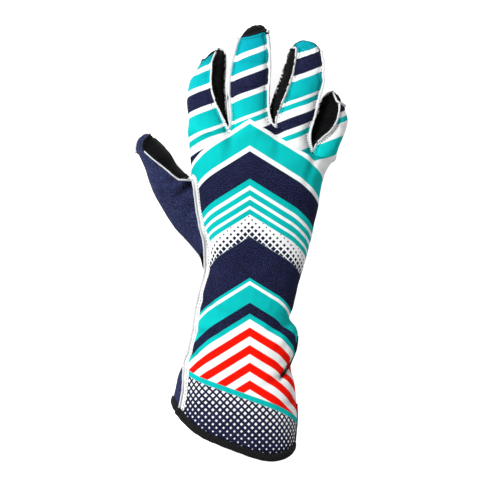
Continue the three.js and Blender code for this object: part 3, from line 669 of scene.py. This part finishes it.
P[:, :3] += N * offset[:, None]
P[:, 2] = np.maximum(P[:, 2], 0)
N = surface_normals(P, Q)


# ---------------------------------------------------------------- materials
class Nodes:
    """Writes arithmetic on sockets as shader nodes."""

    def __init__(self, tree):
        self.tree = tree

    def node(self, kind, inputs=(), **settings):
        made = self.tree.nodes.new(kind)
        for key, value in settings.items():
            setattr(made, key, value)
        for key, value in dict(inputs).items():
            self.put(made.inputs[key], value)
        return made

    def put(self, socket, value):
        if isinstance(value, bpy.types.NodeSocket):
            self.tree.links.new(value, socket)
        else:
            socket.default_value = value

    def math(self, operation, *values):
        made = self.node("ShaderNodeMath", operation=operation)
        for socket, value in zip(made.inputs, values):
            self.put(socket, value)
        return made.outputs[0]

    def add(self, *values):
        total = values[0]
        for value in values[1:]:
            total = self.math("ADD", total, value)
        return total

    def mul(self, a, b):
        return self.math("MULTIPLY", a, b)

    def minus(self, a, b):
        return self.math("SUBTRACT", a, b)

    def flip(self, mask):
        return self.minus(1.0, mask)

    def ramp(self, value, low, high, start=0.0, end=1.0):
        """Goes from start to end as the value goes from low to high."""
        return self.node("ShaderNodeMapRange", {
            "Value": value, "From Min": low, "From Max": high, "To Min": start,
            "To Max": end}).outputs[0]

    def step(self, value, edge, soft=0.25):
        """0 below the edge, 1 above it."""
        return self.ramp(self.minus(value, edge), -soft, soft)

    def band(self, value, low, high):
        return self.mul(self.step(value, low), self.flip(self.step(value, high)))

    def noise(self, vector, scale, detail, roughness=0.5):
        return self.node("ShaderNodeTexNoise", {"Vector": vector, "Scale": scale, "Detail": detail,
                                                "Roughness": roughness}).outputs[0]

    def attribute(self, name):
        return self.node("ShaderNodeAttribute", attribute_name=name).outputs["Fac"]

    def split(self, vector):
        return self.node("ShaderNodeSeparateXYZ", {"Vector": vector}).outputs

    def in_mm(self, vector):
        scaled = self.node("ShaderNodeVectorMath", {0: vector, "Scale": 1 / MM},
                           operation="SCALE")
        return scaled.outputs[0]

    def print_uv(self):
        return self.in_mm(self.node("ShaderNodeUVMap", uv_map="print").outputs[0])

    def place(self):
        return self.node("ShaderNodeTexCoord").outputs["Object"]

    def over(self, below, above, mask):
        """One colour over another, where the mask is 1."""
        return self.node("ShaderNodeMix", {0: mask, 6: below, 7: above},
                         data_type="RGBA").outputs[2]

    def shade(self, colour, factor):
        grey = self.node("ShaderNodeCombineColor", {"Red": factor, "Green": factor,
                                                    "Blue": factor}).outputs[0]
        return self.node("ShaderNodeMix", {0: 1.0, 6: colour, 7: grey}, data_type="RGBA",
                         blend_type="MULTIPLY").outputs[2]


def linear(code):
    parts = [int(code[i:i + 2], 16) / 255 for i in (0, 2, 4)]
    return tuple(c / 12.92 if c <= 0.04045 else ((c + 0.055) / 1.055) ** 2.4
                 for c in parts) + (1.0,)


TEAL, NAVY, WHITE, RED = linear("05B6B3"), linear("181B34"), linear("F6F7F7"), linear("FA1203")
BLACK, THREAD, DEEP_TEAL = linear("060608"), linear("3B4152"), linear("0397A6")


def add_sockets(tree, direction, kind, *names):
    for name in names:
        tree.interface.new_socket(name, in_out=direction, socket_type="NodeSocket" + kind)


def cloth_group():
    """Height and shade of a fine knit: rows of loops with a heathered yarn."""
    group = bpy.data.node_groups.new("knit_grain", "ShaderNodeTree")
    add_sockets(group, "INPUT", "Float", "Pitch", "Heather")
    add_sockets(group, "INPUT", "Vector", "Vector")
    add_sockets(group, "OUTPUT", "Float", "Height", "Shade")
    n = Nodes(group)
    source = n.node("NodeGroupInput").outputs
    x, y, _ = n.split(source["Vector"])
    turns = n.math("DIVIDE", 2 * math.pi, source["Pitch"])
    wave_u = n.math("SINE", n.mul(x, turns))
    lean = n.add(y, n.mul(wave_u, n.mul(source["Pitch"], 0.18)))
    wave_v = n.math("SINE", n.mul(lean, n.mul(turns, 0.8)))
    loops = n.mul(n.math("ABSOLUTE", wave_u), n.add(n.mul(wave_v, 0.5), 0.5))
    fuzz = n.noise(source["Vector"], 1.4, 2.0)
    blotch = n.noise(source["Vector"], 0.13, 3.0)
    shade = n.add(1.0, n.mul(n.minus(fuzz, 0.5), n.mul(source["Heather"], 2.0)),
                  n.mul(n.minus(blotch, 0.5), n.mul(source["Heather"], 0.25)),
                  n.mul(n.minus(loops, 0.4), 0.06))
    n.node("NodeGroupOutput", {"Height": n.add(n.mul(loops, 0.6), n.mul(fuzz, 0.5)),
                               "Shade": n.math("MAXIMUM", shade, 0.3)})
    return group


KNIT = cloth_group()


def new_material(name):
    material = bpy.data.materials.new(name)
    material.use_nodes = True
    material.node_tree.nodes.clear()
    n = Nodes(material.node_tree)
    shader = n.node("ShaderNodeBsdfPrincipled")
    out = n.node("ShaderNodeOutputMaterial")
    n.put(out.inputs["Surface"], shader.outputs[0])
    return material, n, shader


def finish(n, shader, colour, height, distance, roughness, sheen):
    bump = n.node("ShaderNodeBump", {"Height": height, "Strength": 1.0, "Distance": distance})
    for key, value in (("Base Color", colour), ("Roughness", roughness),
                       ("Specular IOR Level", 0.06), ("Sheen Weight", sheen),
                       ("Sheen Roughness", 0.5), ("Normal", bump.outputs[0])):
        n.put(shader.inputs[key], value)


def with_painted_shade(n, factor, strength):
    """Darkens a factor with painted shade where the cloth lies deep in a fold."""
    return n.mul(factor, n.flip(n.mul(n.attribute("painted_shade"), strength)))


def knit(n, vector, pitch, heather):
    made = n.node("ShaderNodeGroup", {}, node_tree=KNIT)
    for key, value in (("Pitch", pitch), ("Heather", heather), ("Vector", vector)):
        n.put(made.inputs[key], value)
    return made.outputs["Height"], made.outputs["Shade"]


# The print: bands from low to high, in mm. None is the fingers' own teal.
CHEVRON_AXIS, CHEVRON_RISE, FINGER_LEAN, HEM_LEAN = 6.0, 0.62, -0.34, 0.36
CHEVRONS = [(46, 66, NAVY), (86, 89.5, WHITE), (66, 70, WHITE), (38, 41, WHITE),
            (31, 33.6, WHITE), (24, 26.4, WHITE), (4, 20, WHITE), (-26, 4, NAVY),
            (-31, -28.4, WHITE), (-52, -44, NAVY)]
FINGERS_FROM, CUFF_BELOW, HEM_BELOW, HEM_BORDER = 89.5, -56.0, -113.0, 4
FINGER_BARS = [(84, 104, None), (70, 78, NAVY), (88, 90.6, WHITE), (108, 120, NAVY),
               (124, 134, None), (138, 170, None), (62, 66, None), (40, 52, None)]
DEEPER_FROM, DEEPER_TO = 80.0, 150.0  # the fingers' teal deepens towards the tips
LOZENGE_CELL, LOZENGE_BAND = 5.2, (4, 20)
STRIPE_START, STRIPE_PITCH, RED_FROM = 302.0, 6.4, 3.1
KNIT_PITCH, DARK_BELOW = 0.9, 0.06


def print_material():
    material, n, shader = new_material("print_cloth")
    coords = n.print_uv()
    u, v, _ = n.split(coords)
    # Chevrons that point to the fingertips
    chevron = n.add(v, n.mul(n.math("ABSOLUTE", n.minus(u, CHEVRON_AXIS)), CHEVRON_RISE))
    colour = TEAL
    for low, high, ink in CHEVRONS:
        colour = n.over(colour, ink, n.band(chevron, low, high))
    # Leaning bars on the fingers
    lean = n.add(v, n.mul(u, FINGER_LEAN))
    teal = n.over(TEAL, DEEP_TEAL, n.ramp(v, DEEPER_FROM, DEEPER_TO))
    bars = WHITE
    for low, high, ink in FINGER_BARS:
        bars = n.over(bars, ink or teal, n.band(lean, low, high))
    colour = n.over(colour, bars, n.step(chevron, FINGERS_FROM))
    # Lozenges that shrink towards the wrist, on the white chevron and on the navy hem
    cells = [n.math("FRACT", n.math("DIVIDE", n.add(across, v, 400.0), LOZENGE_CELL))
             for across in (u, n.mul(u, -1.0))]
    reach = n.math("MAXIMUM", *(n.math("ABSOLUTE", n.minus(cell, 0.5)) for cell in cells))
    size = n.ramp(chevron, *LOZENGE_BAND, 0.42, 0.1)
    lozenge = n.mul(n.flip(n.step(reach, size, 0.04)), n.band(chevron, *LOZENGE_BAND))
    colour = n.over(colour, NAVY, lozenge)
    # Red and white chevrons down to the hem's slanted border
    cycle = n.math("PINGPONG", n.add(chevron, STRIPE_START), STRIPE_PITCH)
    stripes = n.over(WHITE, RED, n.step(cycle, RED_FROM))
    colour = n.over(colour, stripes, n.flip(n.step(chevron, CUFF_BELOW)))
    hem_line = n.add(v, n.mul(u, HEM_LEAN))
    size = n.ramp(hem_line, -150.0, -116.0, 0.12, 0.3)
    hem = n.over(NAVY, WHITE, n.flip(n.step(reach, size, 0.04)))
    colour = n.over(colour, hem, n.flip(n.step(hem_line, HEM_BELOW)))
    colour = n.over(colour, TEAL, n.band(hem_line, HEM_BELOW, HEM_BELOW + HEM_BORDER))
    # The unprinted edge on the thumb's side
    colour = n.over(colour, WHITE, n.flip(n.step(n.attribute("left_edge"), 0.0, 0.3)))
    # The knit's grain, coarser to the eye on the dark parts, painted shade beside the seams, and
    # painted shade in the folds
    height, tone = knit(n, coords, KNIT_PITCH, 0.06)
    _, heather = knit(n, coords, KNIT_PITCH, 6.5)
    grey = n.node("ShaderNodeRGBToBW", {"Color": colour}).outputs[0]
    dark = n.flip(n.step(grey, DARK_BELOW, 0.03))
    tone = n.add(tone, n.mul(dark, n.minus(heather, 0.9)))
    tone = n.mul(tone, n.ramp(n.attribute("seam"), 0.0, 4.0, 0.93, 1.0))
    finish(n, shader, n.shade(colour, with_painted_shade(n, tone, 0.85)), height, 0.00016, 0.85, 0.0)
    return material


def plain_knit(name, colour, pitch, heather, sheen):
    material, n, shader = new_material(name)
    height, tone = knit(n, n.in_mm(n.place()), pitch, heather)
    # Painted shade darkens the colour in the folds
    finish(n, shader, n.shade(colour, with_painted_shade(n, tone, 0.8)), height, 0.0003, 0.85, sheen)
    return material


def suede_material():
    material, n, shader = new_material("black_suede")
    nap = n.noise(n.place(), 950.0, 4.0, 0.7)
    patch = n.noise(n.place(), 130.0, 3.0)
    tone = n.add(0.3, n.mul(n.math("POWER", nap, 4.0), 9.0), n.mul(patch, 0.5))
    finish(n, shader, n.shade(BLACK, tone), n.add(nap, n.mul(patch, 0.8)), 0.0008, 0.95, 0.05)
    return material


def thread_material(name, colour, dark, pitch, sheen=0.1, darkest=0.3):
    """Overlock thread wound round a cut edge: fine slanted turns."""
    material, n, shader = new_material(name)
    coords = n.print_uv()
    x, y, _ = n.split(coords)
    turn = n.add(x, n.mul(y, 0.35))
    wave = n.math("ABSOLUTE", n.math("SINE", n.math("DIVIDE", n.mul(turn, math.pi), pitch)))
    fray = n.mul(n.noise(coords, 1.2, 4.0), 0.6)
    tone = n.over(dark, colour, n.ramp(n.add(n.mul(wave, 0.6), fray), darkest, darkest + 0.5))
    finish(n, shader, tone, n.add(n.mul(wave, 0.7), fray), 0.0005, 0.8, sheen)
    return material


PRINT = print_material()
NAVY_KNIT = plain_knit("navy_cloth", linear("272C4C"), 0.75, 3.2, 0.03)
LINING = plain_knit("inside_cloth", linear("C9CCD0"), 1.1, 0.15, 0.1)
SUEDE = suede_material()
SEAM_EDGE = thread_material("seam_edge", WHITE, linear("8E919A"), 1.5)
DARK_EDGE = thread_material("dark_edge", linear("1C1C21"), linear("050507"), 1.5, 0.05)
STITCH = thread_material("stitch_thread", THREAD, linear("23262F"), 0.5)
HEM_TAPE = thread_material("hem_tape", linear("2B2B2D"), linear("050506"), 1.6, 0.03, 0.5)


# ---------------------------------------------------------------- mesh helpers
def link(name, data):
    made = bpy.data.objects.new(name, data)
    bpy.context.scene.collection.objects.link(made)
    return made


def new_object(name, vertices, faces, material, uv=None, floats=None):
    mesh = bpy.data.meshes.new(name)
    mesh.from_pydata((np.asarray(vertices) * MM).tolist(), [], faces)
    mesh.update()
    if uv is not None:
        layer = mesh.uv_layers.new(name="print")
        index = np.empty(len(mesh.loops), int)
        mesh.loops.foreach_get("vertex_index", index)
        layer.data.foreach_set("uv", (np.asarray(uv)[index] * MM).ravel())
    for key, values in (floats or {}).items():
        mesh.attributes.new(key, "FLOAT", "POINT").data.foreach_set("value", values)
    mesh.shade_smooth()
    mesh.materials.append(material)
    return link(name, mesh)


def dress(obj, slot, *nodes):
    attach(obj, "root")
    if nodes:
        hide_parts(*nodes)


def panel_cloth(name, material, inside):
    """A panel's outer face, an inner face one cloth's thickness below, and the cut edge."""
    mine = panel_quads(name)
    used, local = np.unique(mine, return_inverse=True)
    local = local.reshape(-1, 4)
    outer = P[used, :3]
    inner = outer - N[used] * CLOTH
    # Where a tight turn would push the inner face out through the outer, the cloth thins
    face = surface(mine)
    through = [face.ray_cast(Vector(p), -Vector(normal), 2 * CLOTH)[0] is not None
               for p, normal in zip(inner, N[used])]
    if any(through):
        thin = np.clip(distance_to(used[through], outer) / THINNING_WIDTH, THINNEST, 1)
        inner = outer - N[used] * CLOTH * thin[:, None]
    count = len(used)
    faces = local.tolist() + (local[:, ::-1] + count).tolist()
    faces += [(b, a, a + count, b + count) for a, b in open_sides(local)]
    floats = {"seam": seam_distance, "left_edge": left_distance, "painted_shade": painted_shade}
    made = new_object(name.replace("_panel", "_cloth").replace("fourchette", "side_strip"),
                      np.concatenate([outer, inner]), faces, material,
                      np.tile(P[used, 3:5], (2, 1)),
                      {key: np.tile(values[used], 2) for key, values in floats.items()})
    made.data.materials.append(inside)
    slots = [0] * len(local) + [1] * (len(faces) - len(local))
    made.data.polygons.foreach_set("material_index", slots)
    return made


def sideways(path, normals, closed):
    """Unit vectors along the surface, square to the path."""
    tangent = (np.roll(path, -1, axis=0) - np.roll(path, 1, axis=0) if closed
               else np.gradient(path, axis=0))
    return unit(np.cross(normals, unit(tangent)))


def resample(path, normals, spacing, closed=False):
    if closed:
        path = np.concatenate([path, path[:1]])
        normals = np.concatenate([normals, normals[:1]])
    lengths = np.linalg.norm(np.diff(path, axis=0), axis=1)
    along = np.concatenate([[0], np.cumsum(lengths)])
    at = np.linspace(0, along[-1], max(int(along[-1] / spacing), 4) + 1)
    if closed:
        at = at[:-1]
    path, normals = (np.stack([np.interp(at, along, rows[:, k]) for k in range(3)], axis=1)
                     for rows in (path, normals))
    return path, unit(normals)


def smooth_line(line, passes=10):
    line = line.copy()
    for _ in range(passes):
        line[1:-1] = (line[:-2] + 2 * line[1:-1] + line[2:]) / 4
    return line


def sweep(name, path, normals, profile, material, wobble, seed, closed=False):
    """Sweeps a profile of (side, out) points along a path; wobble moves it a little."""
    side = sideways(path, normals, closed)
    count, sections = len(profile), len(path)
    vertices, uv = [], []
    along = 0.0
    for i in range(sections):
        if i:
            along += np.linalg.norm(path[i] - path[i - 1])
        sway = wobble * noise.noise(Vector((along / 5, seed, 3.0)))
        rise = 1 + 0.8 * wobble * noise.noise(Vector((along / 3.4, seed, 11.0)))
        for k, (across, out) in enumerate(profile):
            p = path[i] + side[i] * (across + sway) + normals[i] * (out * rise if out > 0 else out)
            vertices.append((p[0], p[1], max(p[2], 0.0)))
            uv.append((along, 1.1 * k))
    faces = []
    for i in range(sections if closed else sections - 1):
        n = (i + 1) % sections
        for k in range(count):
            m = (k + 1) % count
            faces.append((count * i + k, count * i + m, count * n + m, count * n + k))
    if not closed:
        faces += [tuple(range(count))[::-1], tuple(range(count * (sections - 1), count * sections))]
    return new_object(name, vertices, faces, material, uv)


# ---------------------------------------------------------------- the pieces
for name, material, inside, slot in (
        ("back_panel", PRINT, LINING, "print_cloth"),
        ("cuff_under_panel", NAVY_KNIT, LINING, "navy_cloth"),
        ("palm_panel", SUEDE, SUEDE, "black_suede"),
        ("thumb_back_panel", NAVY_KNIT, LINING, "navy_cloth"),
        ("thumb_front_panel", SUEDE, SUEDE, "black_suede"),
        *((strip, SUEDE, SUEDE, "black_suede") for strip in FOURCHETTES)):
    dress(panel_cloth(name, material, inside), slot, name)

FIN = [(0.75, -1.0), (0.78, 0.6), (0.62, 1.25), (0.2, 1.5), (-0.2, 1.5), (-0.62, 1.25),
       (-0.78, 0.6), (-0.75, -1.0)]
THUMB_RIM = 66.5  # above this y the thumb's seam is turned in, and dark
CAP_REACH = (15, 15, 15, 7)  # of the black caps, from each fingertip
SEAM_SPACING, EDGE_SPACING, HEM_SPACING, STITCH_SPACING = 1.1, 0.7, 1.3, 1.5


def fin(thin, out):
    return [(x * thin, z * out) for x, z in FIN]


def edging(name, path, normals, thin, white, seed, *nodes):
    made = sweep(name, path, normals, fin(thin, 1 if white else 0.4),
                 SEAM_EDGE if white else DARK_EDGE, 0.3, seed)
    dress(made, "white_seam" if white else "dark_seam", *nodes)


def runs(flags):
    """First and last places of each run of equal flags."""
    cuts = [0, *(np.flatnonzero(np.diff(flags.astype(int))) + 1), len(flags)]
    return list(zip(cuts, cuts[1:]))


black_side = np.intersect1d(SEAMS["back_seam"], panel_quads("palm_panel").reshape(-1))
for number, (name, chain) in enumerate(SEAMS.items()):
    path, normals = resample(smooth_line(P[chain, :3]), smooth_line(N[chain]), SEAM_SPACING)
    # Turned in and dark along the thumb's rim and under the caps of the fingertips
    turned = np.zeros(len(path), bool)
    if name == "thumb_seam":
        turned = (path[:, 1] > THUMB_RIM) & (normals[:, 2] > 0.1)
    elif name == "back_seam":
        for tip, reach in zip(fingertips, CAP_REACH):
            turned |= np.linalg.norm(path - tip, axis=1) < reach
        turned &= distance_to(black_side, path) < 1.5
    elif name.startswith("palm_seam"):  # these stand up rather than out to the side
        normals = unit(normals + (0, 0, 0.7))
    else:
        turned[:] = True
    for part, (first, last) in enumerate(runs(turned)):
        if last - first > 3:
            rows = slice(max(first - 1, 0), last)
            edging(f"{name.replace('seam', 'edging')}_{part + 1}", path[rows], normals[rows],
                   0.62 if name.startswith("thumb") else 0.85, not turned[first],
                   number * 7.0, name)

# The palm's seam rises into sight at the foot of the first side strip
skin = surface(Q)
RISE = ((-11.6, 109, 21), (-10.8, 98, 20), (-9.2, 87.5, 17))


def path_through(hits, spacing, tilt=0.0):
    """A path through points found on the skin, with its normals tilted up."""
    return resample(np.array([hit[0] for hit in hits]),
                    np.array([hit[1] for hit in hits]) + (0, 0, tilt), spacing)


path, normals = path_through([skin.find_nearest(Vector(p)) for p in RISE], SEAM_SPACING, 0.9)
edging("palm_edging_rise", path, normals, 0.7, True, 5.0)
# The palm's edge peeps out beside the seam below the thumb
chain = [i for i in SEAMS["back_seam"] if P[i, 0] < -20 and -20.5 < P[i, 1] < -8]
path, normals = resample(P[chain, :3], N[chain], SEAM_SPACING)
path[:, 0] = np.interp(path[:, 1], (-20, -7.7), (-27.6, -30.3))
dress(sweep("palm_edge", path - (0, 0, 0.6), normals, fin(0.9, 0.6), SUEDE, 0.5, 9.0),
      "black_suede")
# A dark strip is the painted shadow of the cuff's fold, along the outline and then across the
# print, and the cuff's right side is dark below it. Points beside the glove find its side at this
# height.
SIDE_HEIGHT = 15
DARK_LINES = (
    ("cuff_fold_shadow", 0.4, ((41.9, -68.5), (42.0, -74), (41.3, -79), (38.6, -84.6),
                             (35.2, -89.6), (31.8, -94.2), (29.0, -98.6))),
    ("cuff_side_edge", 0.6, ((60, -117), (60, -125), (60, -132), (60, -140), (60, -147))))
for name, out, points in DARK_LINES:
    hits = []
    for x, y in points:
        hit = skin.ray_cast(Vector((x, y, 90)), Vector((0, 0, -1)))
        hits.append(skin.find_nearest(Vector((x, y, SIDE_HEIGHT))) if hit[0] is None else hit)
    path, normals = path_through(hits, EDGE_SPACING)
    dress(sweep(name, smooth_line(path, 4), normals, fin(0.65, out), DARK_EDGE, 0.2, 21.0),
          "dark_seam")

follow = dict(open_sides(Q))
hem_chain = walk(follow, min(follow))[:-1]
hem_path, hem_normals = resample(P[hem_chain, :3], N[hem_chain], HEM_SPACING, True)
TAPE = [(-0.15, 0.9), (-1.1, 1.15), (-2.8, 1.2), (-4.6, 1.1), (-5.5, 0.6), (-5.75, -0.6),
        (-5.5, -1.9), (-4.6, -2.4), (-2.8, -2.5), (-1.1, -2.4), (-0.15, -2.1)]
dress(sweep("hem_tape", hem_path, hem_normals, TAPE, HEM_TAPE, 0.45, 50.0, True),
      "hem_tape", "hem_binding")


# ---------------------------------------------------------------- stitches
STITCH_PITCH, STITCH_LENGTH, STITCH_THICKNESS, SHORTEST_ROW = 2.4, 1.6, 0.46, 6


def stitch_tree():
    """Lays short rounded stitches end to end along curves."""
    tree = bpy.data.node_groups.new("stitch_row", "GeometryNodeTree")
    add_sockets(tree, "INPUT", "Geometry", "Geometry")
    add_sockets(tree, "INPUT", "Float", "Pitch", "Length", "Thickness")
    add_sockets(tree, "INPUT", "Material", "Thread")
    add_sockets(tree, "OUTPUT", "Geometry", "Geometry")
    n = Nodes(tree)
    source = n.node("NodeGroupInput").outputs
    points_on = n.node("GeometryNodeCurveToPoints", {
        "Curve": source["Geometry"], "Length": source["Pitch"]}, mode="LENGTH").outputs
    stitch = n.node("GeometryNodeMeshUVSphere", {"Segments": 6, "Rings": 5, "Radius": 0.5})
    size = n.node("ShaderNodeCombineXYZ", {"X": source["Thickness"], "Y": source["Thickness"],
                                           "Z": source["Length"]})
    scatter = n.node("GeometryNodeInstanceOnPoints", {
        "Points": points_on["Points"], "Instance": stitch.outputs["Mesh"],
        "Rotation": points_on["Rotation"], "Scale": size.outputs[0]})
    real = n.node("GeometryNodeRealizeInstances", {"Geometry": scatter.outputs[0]})
    paint = n.node("GeometryNodeSetMaterial", {"Geometry": real.outputs[0],
                                               "Material": source["Thread"]})
    n.node("NodeGroupOutput", {"Geometry": paint.outputs[0]})
    return tree


def stitch_rows(name, lines, thread):
    curve = bpy.data.curves.new(name, "CURVE")
    curve.dimensions = "3D"
    for line in lines:
        spline = curve.splines.new("POLY")
        spline.points.add(len(line) - 1)
        spline.points.foreach_set("co", np.column_stack([line * MM, np.ones(len(line))]).ravel())
    holder = link(name, curve)
    modifier = holder.modifiers.new("stitches", "NODES")
    modifier.node_group = stitch_tree()
    wanted = {"Pitch": STITCH_PITCH * MM, "Length": STITCH_LENGTH * MM,
              "Thickness": STITCH_THICKNESS * MM, "Thread": thread}
    for item in modifier.node_group.interface.items_tree:
        if item.in_out == "INPUT" and item.name in wanted:
            modifier[item.identifier] = wanted[item.name]
    bpy.context.view_layer.update()
    evaluated = holder.evaluated_get(bpy.context.evaluated_depsgraph_get())
    mesh = bpy.data.meshes.new_from_object(evaluated)
    mesh.shade_smooth()
    bpy.data.objects.remove(holder)
    return link(name + "_sewn", mesh)


def row_beside(chain, tree):
    """Lines on a panel's surface beside a seam, broken where the surface turns away."""
    path, normals = resample(P[chain, :3], N[chain], STITCH_SPACING)
    lines = [[]]
    for p, across in zip(path, sideways(path, normals, False)):
        hit, normal, _, gap = tree.find_nearest(Vector(p + across * STITCH_INSET))
        if gap > 1.6 or hit.z < 0.8 or (Vector(p) - hit).length < 0.7 * STITCH_INSET:
            lines.append([])
        else:
            lines[-1].append(np.array(hit + normal * 0.12))
    return [np.array(line) for line in lines if len(line) > SHORTEST_ROW]


back_rows = row_beside(SEAMS["back_seam"], surface(panel_quads("back_panel")))
dress(stitch_rows("back_stitches", back_rows, STITCH), "white_seam")

# ---------------------------------------------------------------- brushed edges
NAP_SPACING, NAP_SIZE, NAP_SEED = 0.5, 0.58, 11
BARE_TIP, BARE_SEAM_TIP, BARE_SEAM_FOOT = 8, 17, 5  # mm that stay without nap
BESIDE_SEAM = 0.95  # where nap grows at a seam, it stands beside it and not through it


def tufts(name, facing, foot, seed):
    """Lumps of brushed nap along a side strip's edges and over its face."""
    rng = np.random.default_rng(seed)
    ball = bmesh.new()
    bmesh.ops.create_icosphere(ball, subdivisions=2, radius=1.0)
    shape = np.array([v.co for v in ball.verts])
    faces = np.array([[v.index for v in f.verts] for f in ball.faces])
    ball.free()
    used = np.unique(panel_quads(name))
    used = used[(P[used, 2] > 4) & (N[used, 2] > 0) & (facing * N[used, 0] > 0.1)
                & (tip_distance[used] > BARE_TIP)]
    sewn = (np.isin(used, SEAMS["back_seam"]) & (P[used, 1] > foot + BARE_SEAM_FOOT)
            & (tip_distance[used] > BARE_SEAM_TIP))
    used = used[(seam_distance[used] > 0.5) | sewn]
    share = np.where(seam_distance[used] < 1.9, NAP_SPACING, 0.2 * NAP_SPACING)
    chosen = used[rng.random(len(used)) < share]
    beside = np.where(seam_distance[chosen] < 0.5, BESIDE_SEAM, 0)
    vertices, triangles = [], []
    for index, aside in zip(chosen, beside):
        normal = Vector(N[index])
        lean = Vector(rng.normal(0, 0.35, 3))
        turn = np.array((normal + lean).normalized().to_track_quat("Z", "Y").to_matrix())
        edge = math.exp(-(seam_distance[index] / 1.5) ** 2)
        scale = (NAP_SIZE * rng.uniform(0.6, 1.15) * (1 + (0.9 if aside else 0.5) * edge)
                 * np.array([1, rng.uniform(0.6, 1), 0.9 + 0.5 * edge]))
        lumpy = shape * (1 + 0.25 * rng.normal(0, 1, (len(shape), 1)))
        place = P[index, :3] + N[index] * (0.5 * edge + 0.6 * aside) + (facing * aside, 0, 0)
        vertices.append((lumpy * scale) @ turn.T + place)
        triangles.append(faces + len(shape) * (len(vertices) - 1))
    dress(new_object(name.replace("fourchette", "nap"), np.concatenate(vertices),
                     np.concatenate(triangles).tolist(), SUEDE), "black_suede")


# Only the side of each strip that the photograph shows is brushed up
for number, (name, facing) in enumerate(zip(FOURCHETTES, (1, -1, -1))):
    foot = WRIST_Y + CROTCHES[number + 1][0] * HAND_LENGTH
    tufts(name, facing, foot, NAP_SEED + number)

# ---------------------------------------------------------------- stage
FLOOR = 1600
floor_paint, n, shader = new_material("floor_paint")
seen = n.node("ShaderNodeLightPath").outputs["Is Camera Ray"]
for key, value in (("Base Color", (0.9, 0.9, 0.9, 1)), ("Roughness", 0.9),
                   ("Emission Color", (1, 1, 1, 1)), ("Emission Strength", n.mul(seen, 0.9))):
    n.put(shader.inputs[key], value)
floor = new_object("floor", [(-FLOOR, -FLOOR, 0), (FLOOR, -FLOOR, 0), (FLOOR, FLOOR, 0),
                             (-FLOOR, FLOOR, 0)], [(0, 1, 2, 3)], floor_paint)
floor.location.z = -0.0002


def area_light(name, location, size, energy):
    lamp = bpy.data.lights.new(name, "AREA")
    lamp.shape = "DISK"
    lamp.size = size
    lamp.energy = energy
    made = link(name, lamp)
    made.location = location
    made.rotation_euler = (-Vector(location)).to_track_quat("-Z", "Y").to_euler()


area_light("key", (-0.8, 0.6, 1.1), 0.7, 30)
area_light("fill", (0.7, -0.5, 1.3), 1.4, 1.5)
scene = bpy.context.scene
scene.world = bpy.data.worlds.new("studio")
scene.world.use_nodes = True
background = scene.world.node_tree.nodes["Background"]
background.inputs["Color"].default_value = (1, 1, 1, 1)
background.inputs["Strength"].default_value = 0.31
scene.view_settings.view_transform = "Standard"

DISTANCE, FIELD, SENSOR = 3.0, 0.3504, 36  # the field is what the picture spans at 2.98 m
camera_data = bpy.data.cameras.new("camera")
camera_data.sensor_width = SENSOR
camera_data.lens = SENSOR * (DISTANCE - 0.02) / FIELD
camera_data.clip_end = 20
camera = link("camera", camera_data)
camera.location = (-0.0014, 0.0016, DISTANCE)
scene.camera = camera
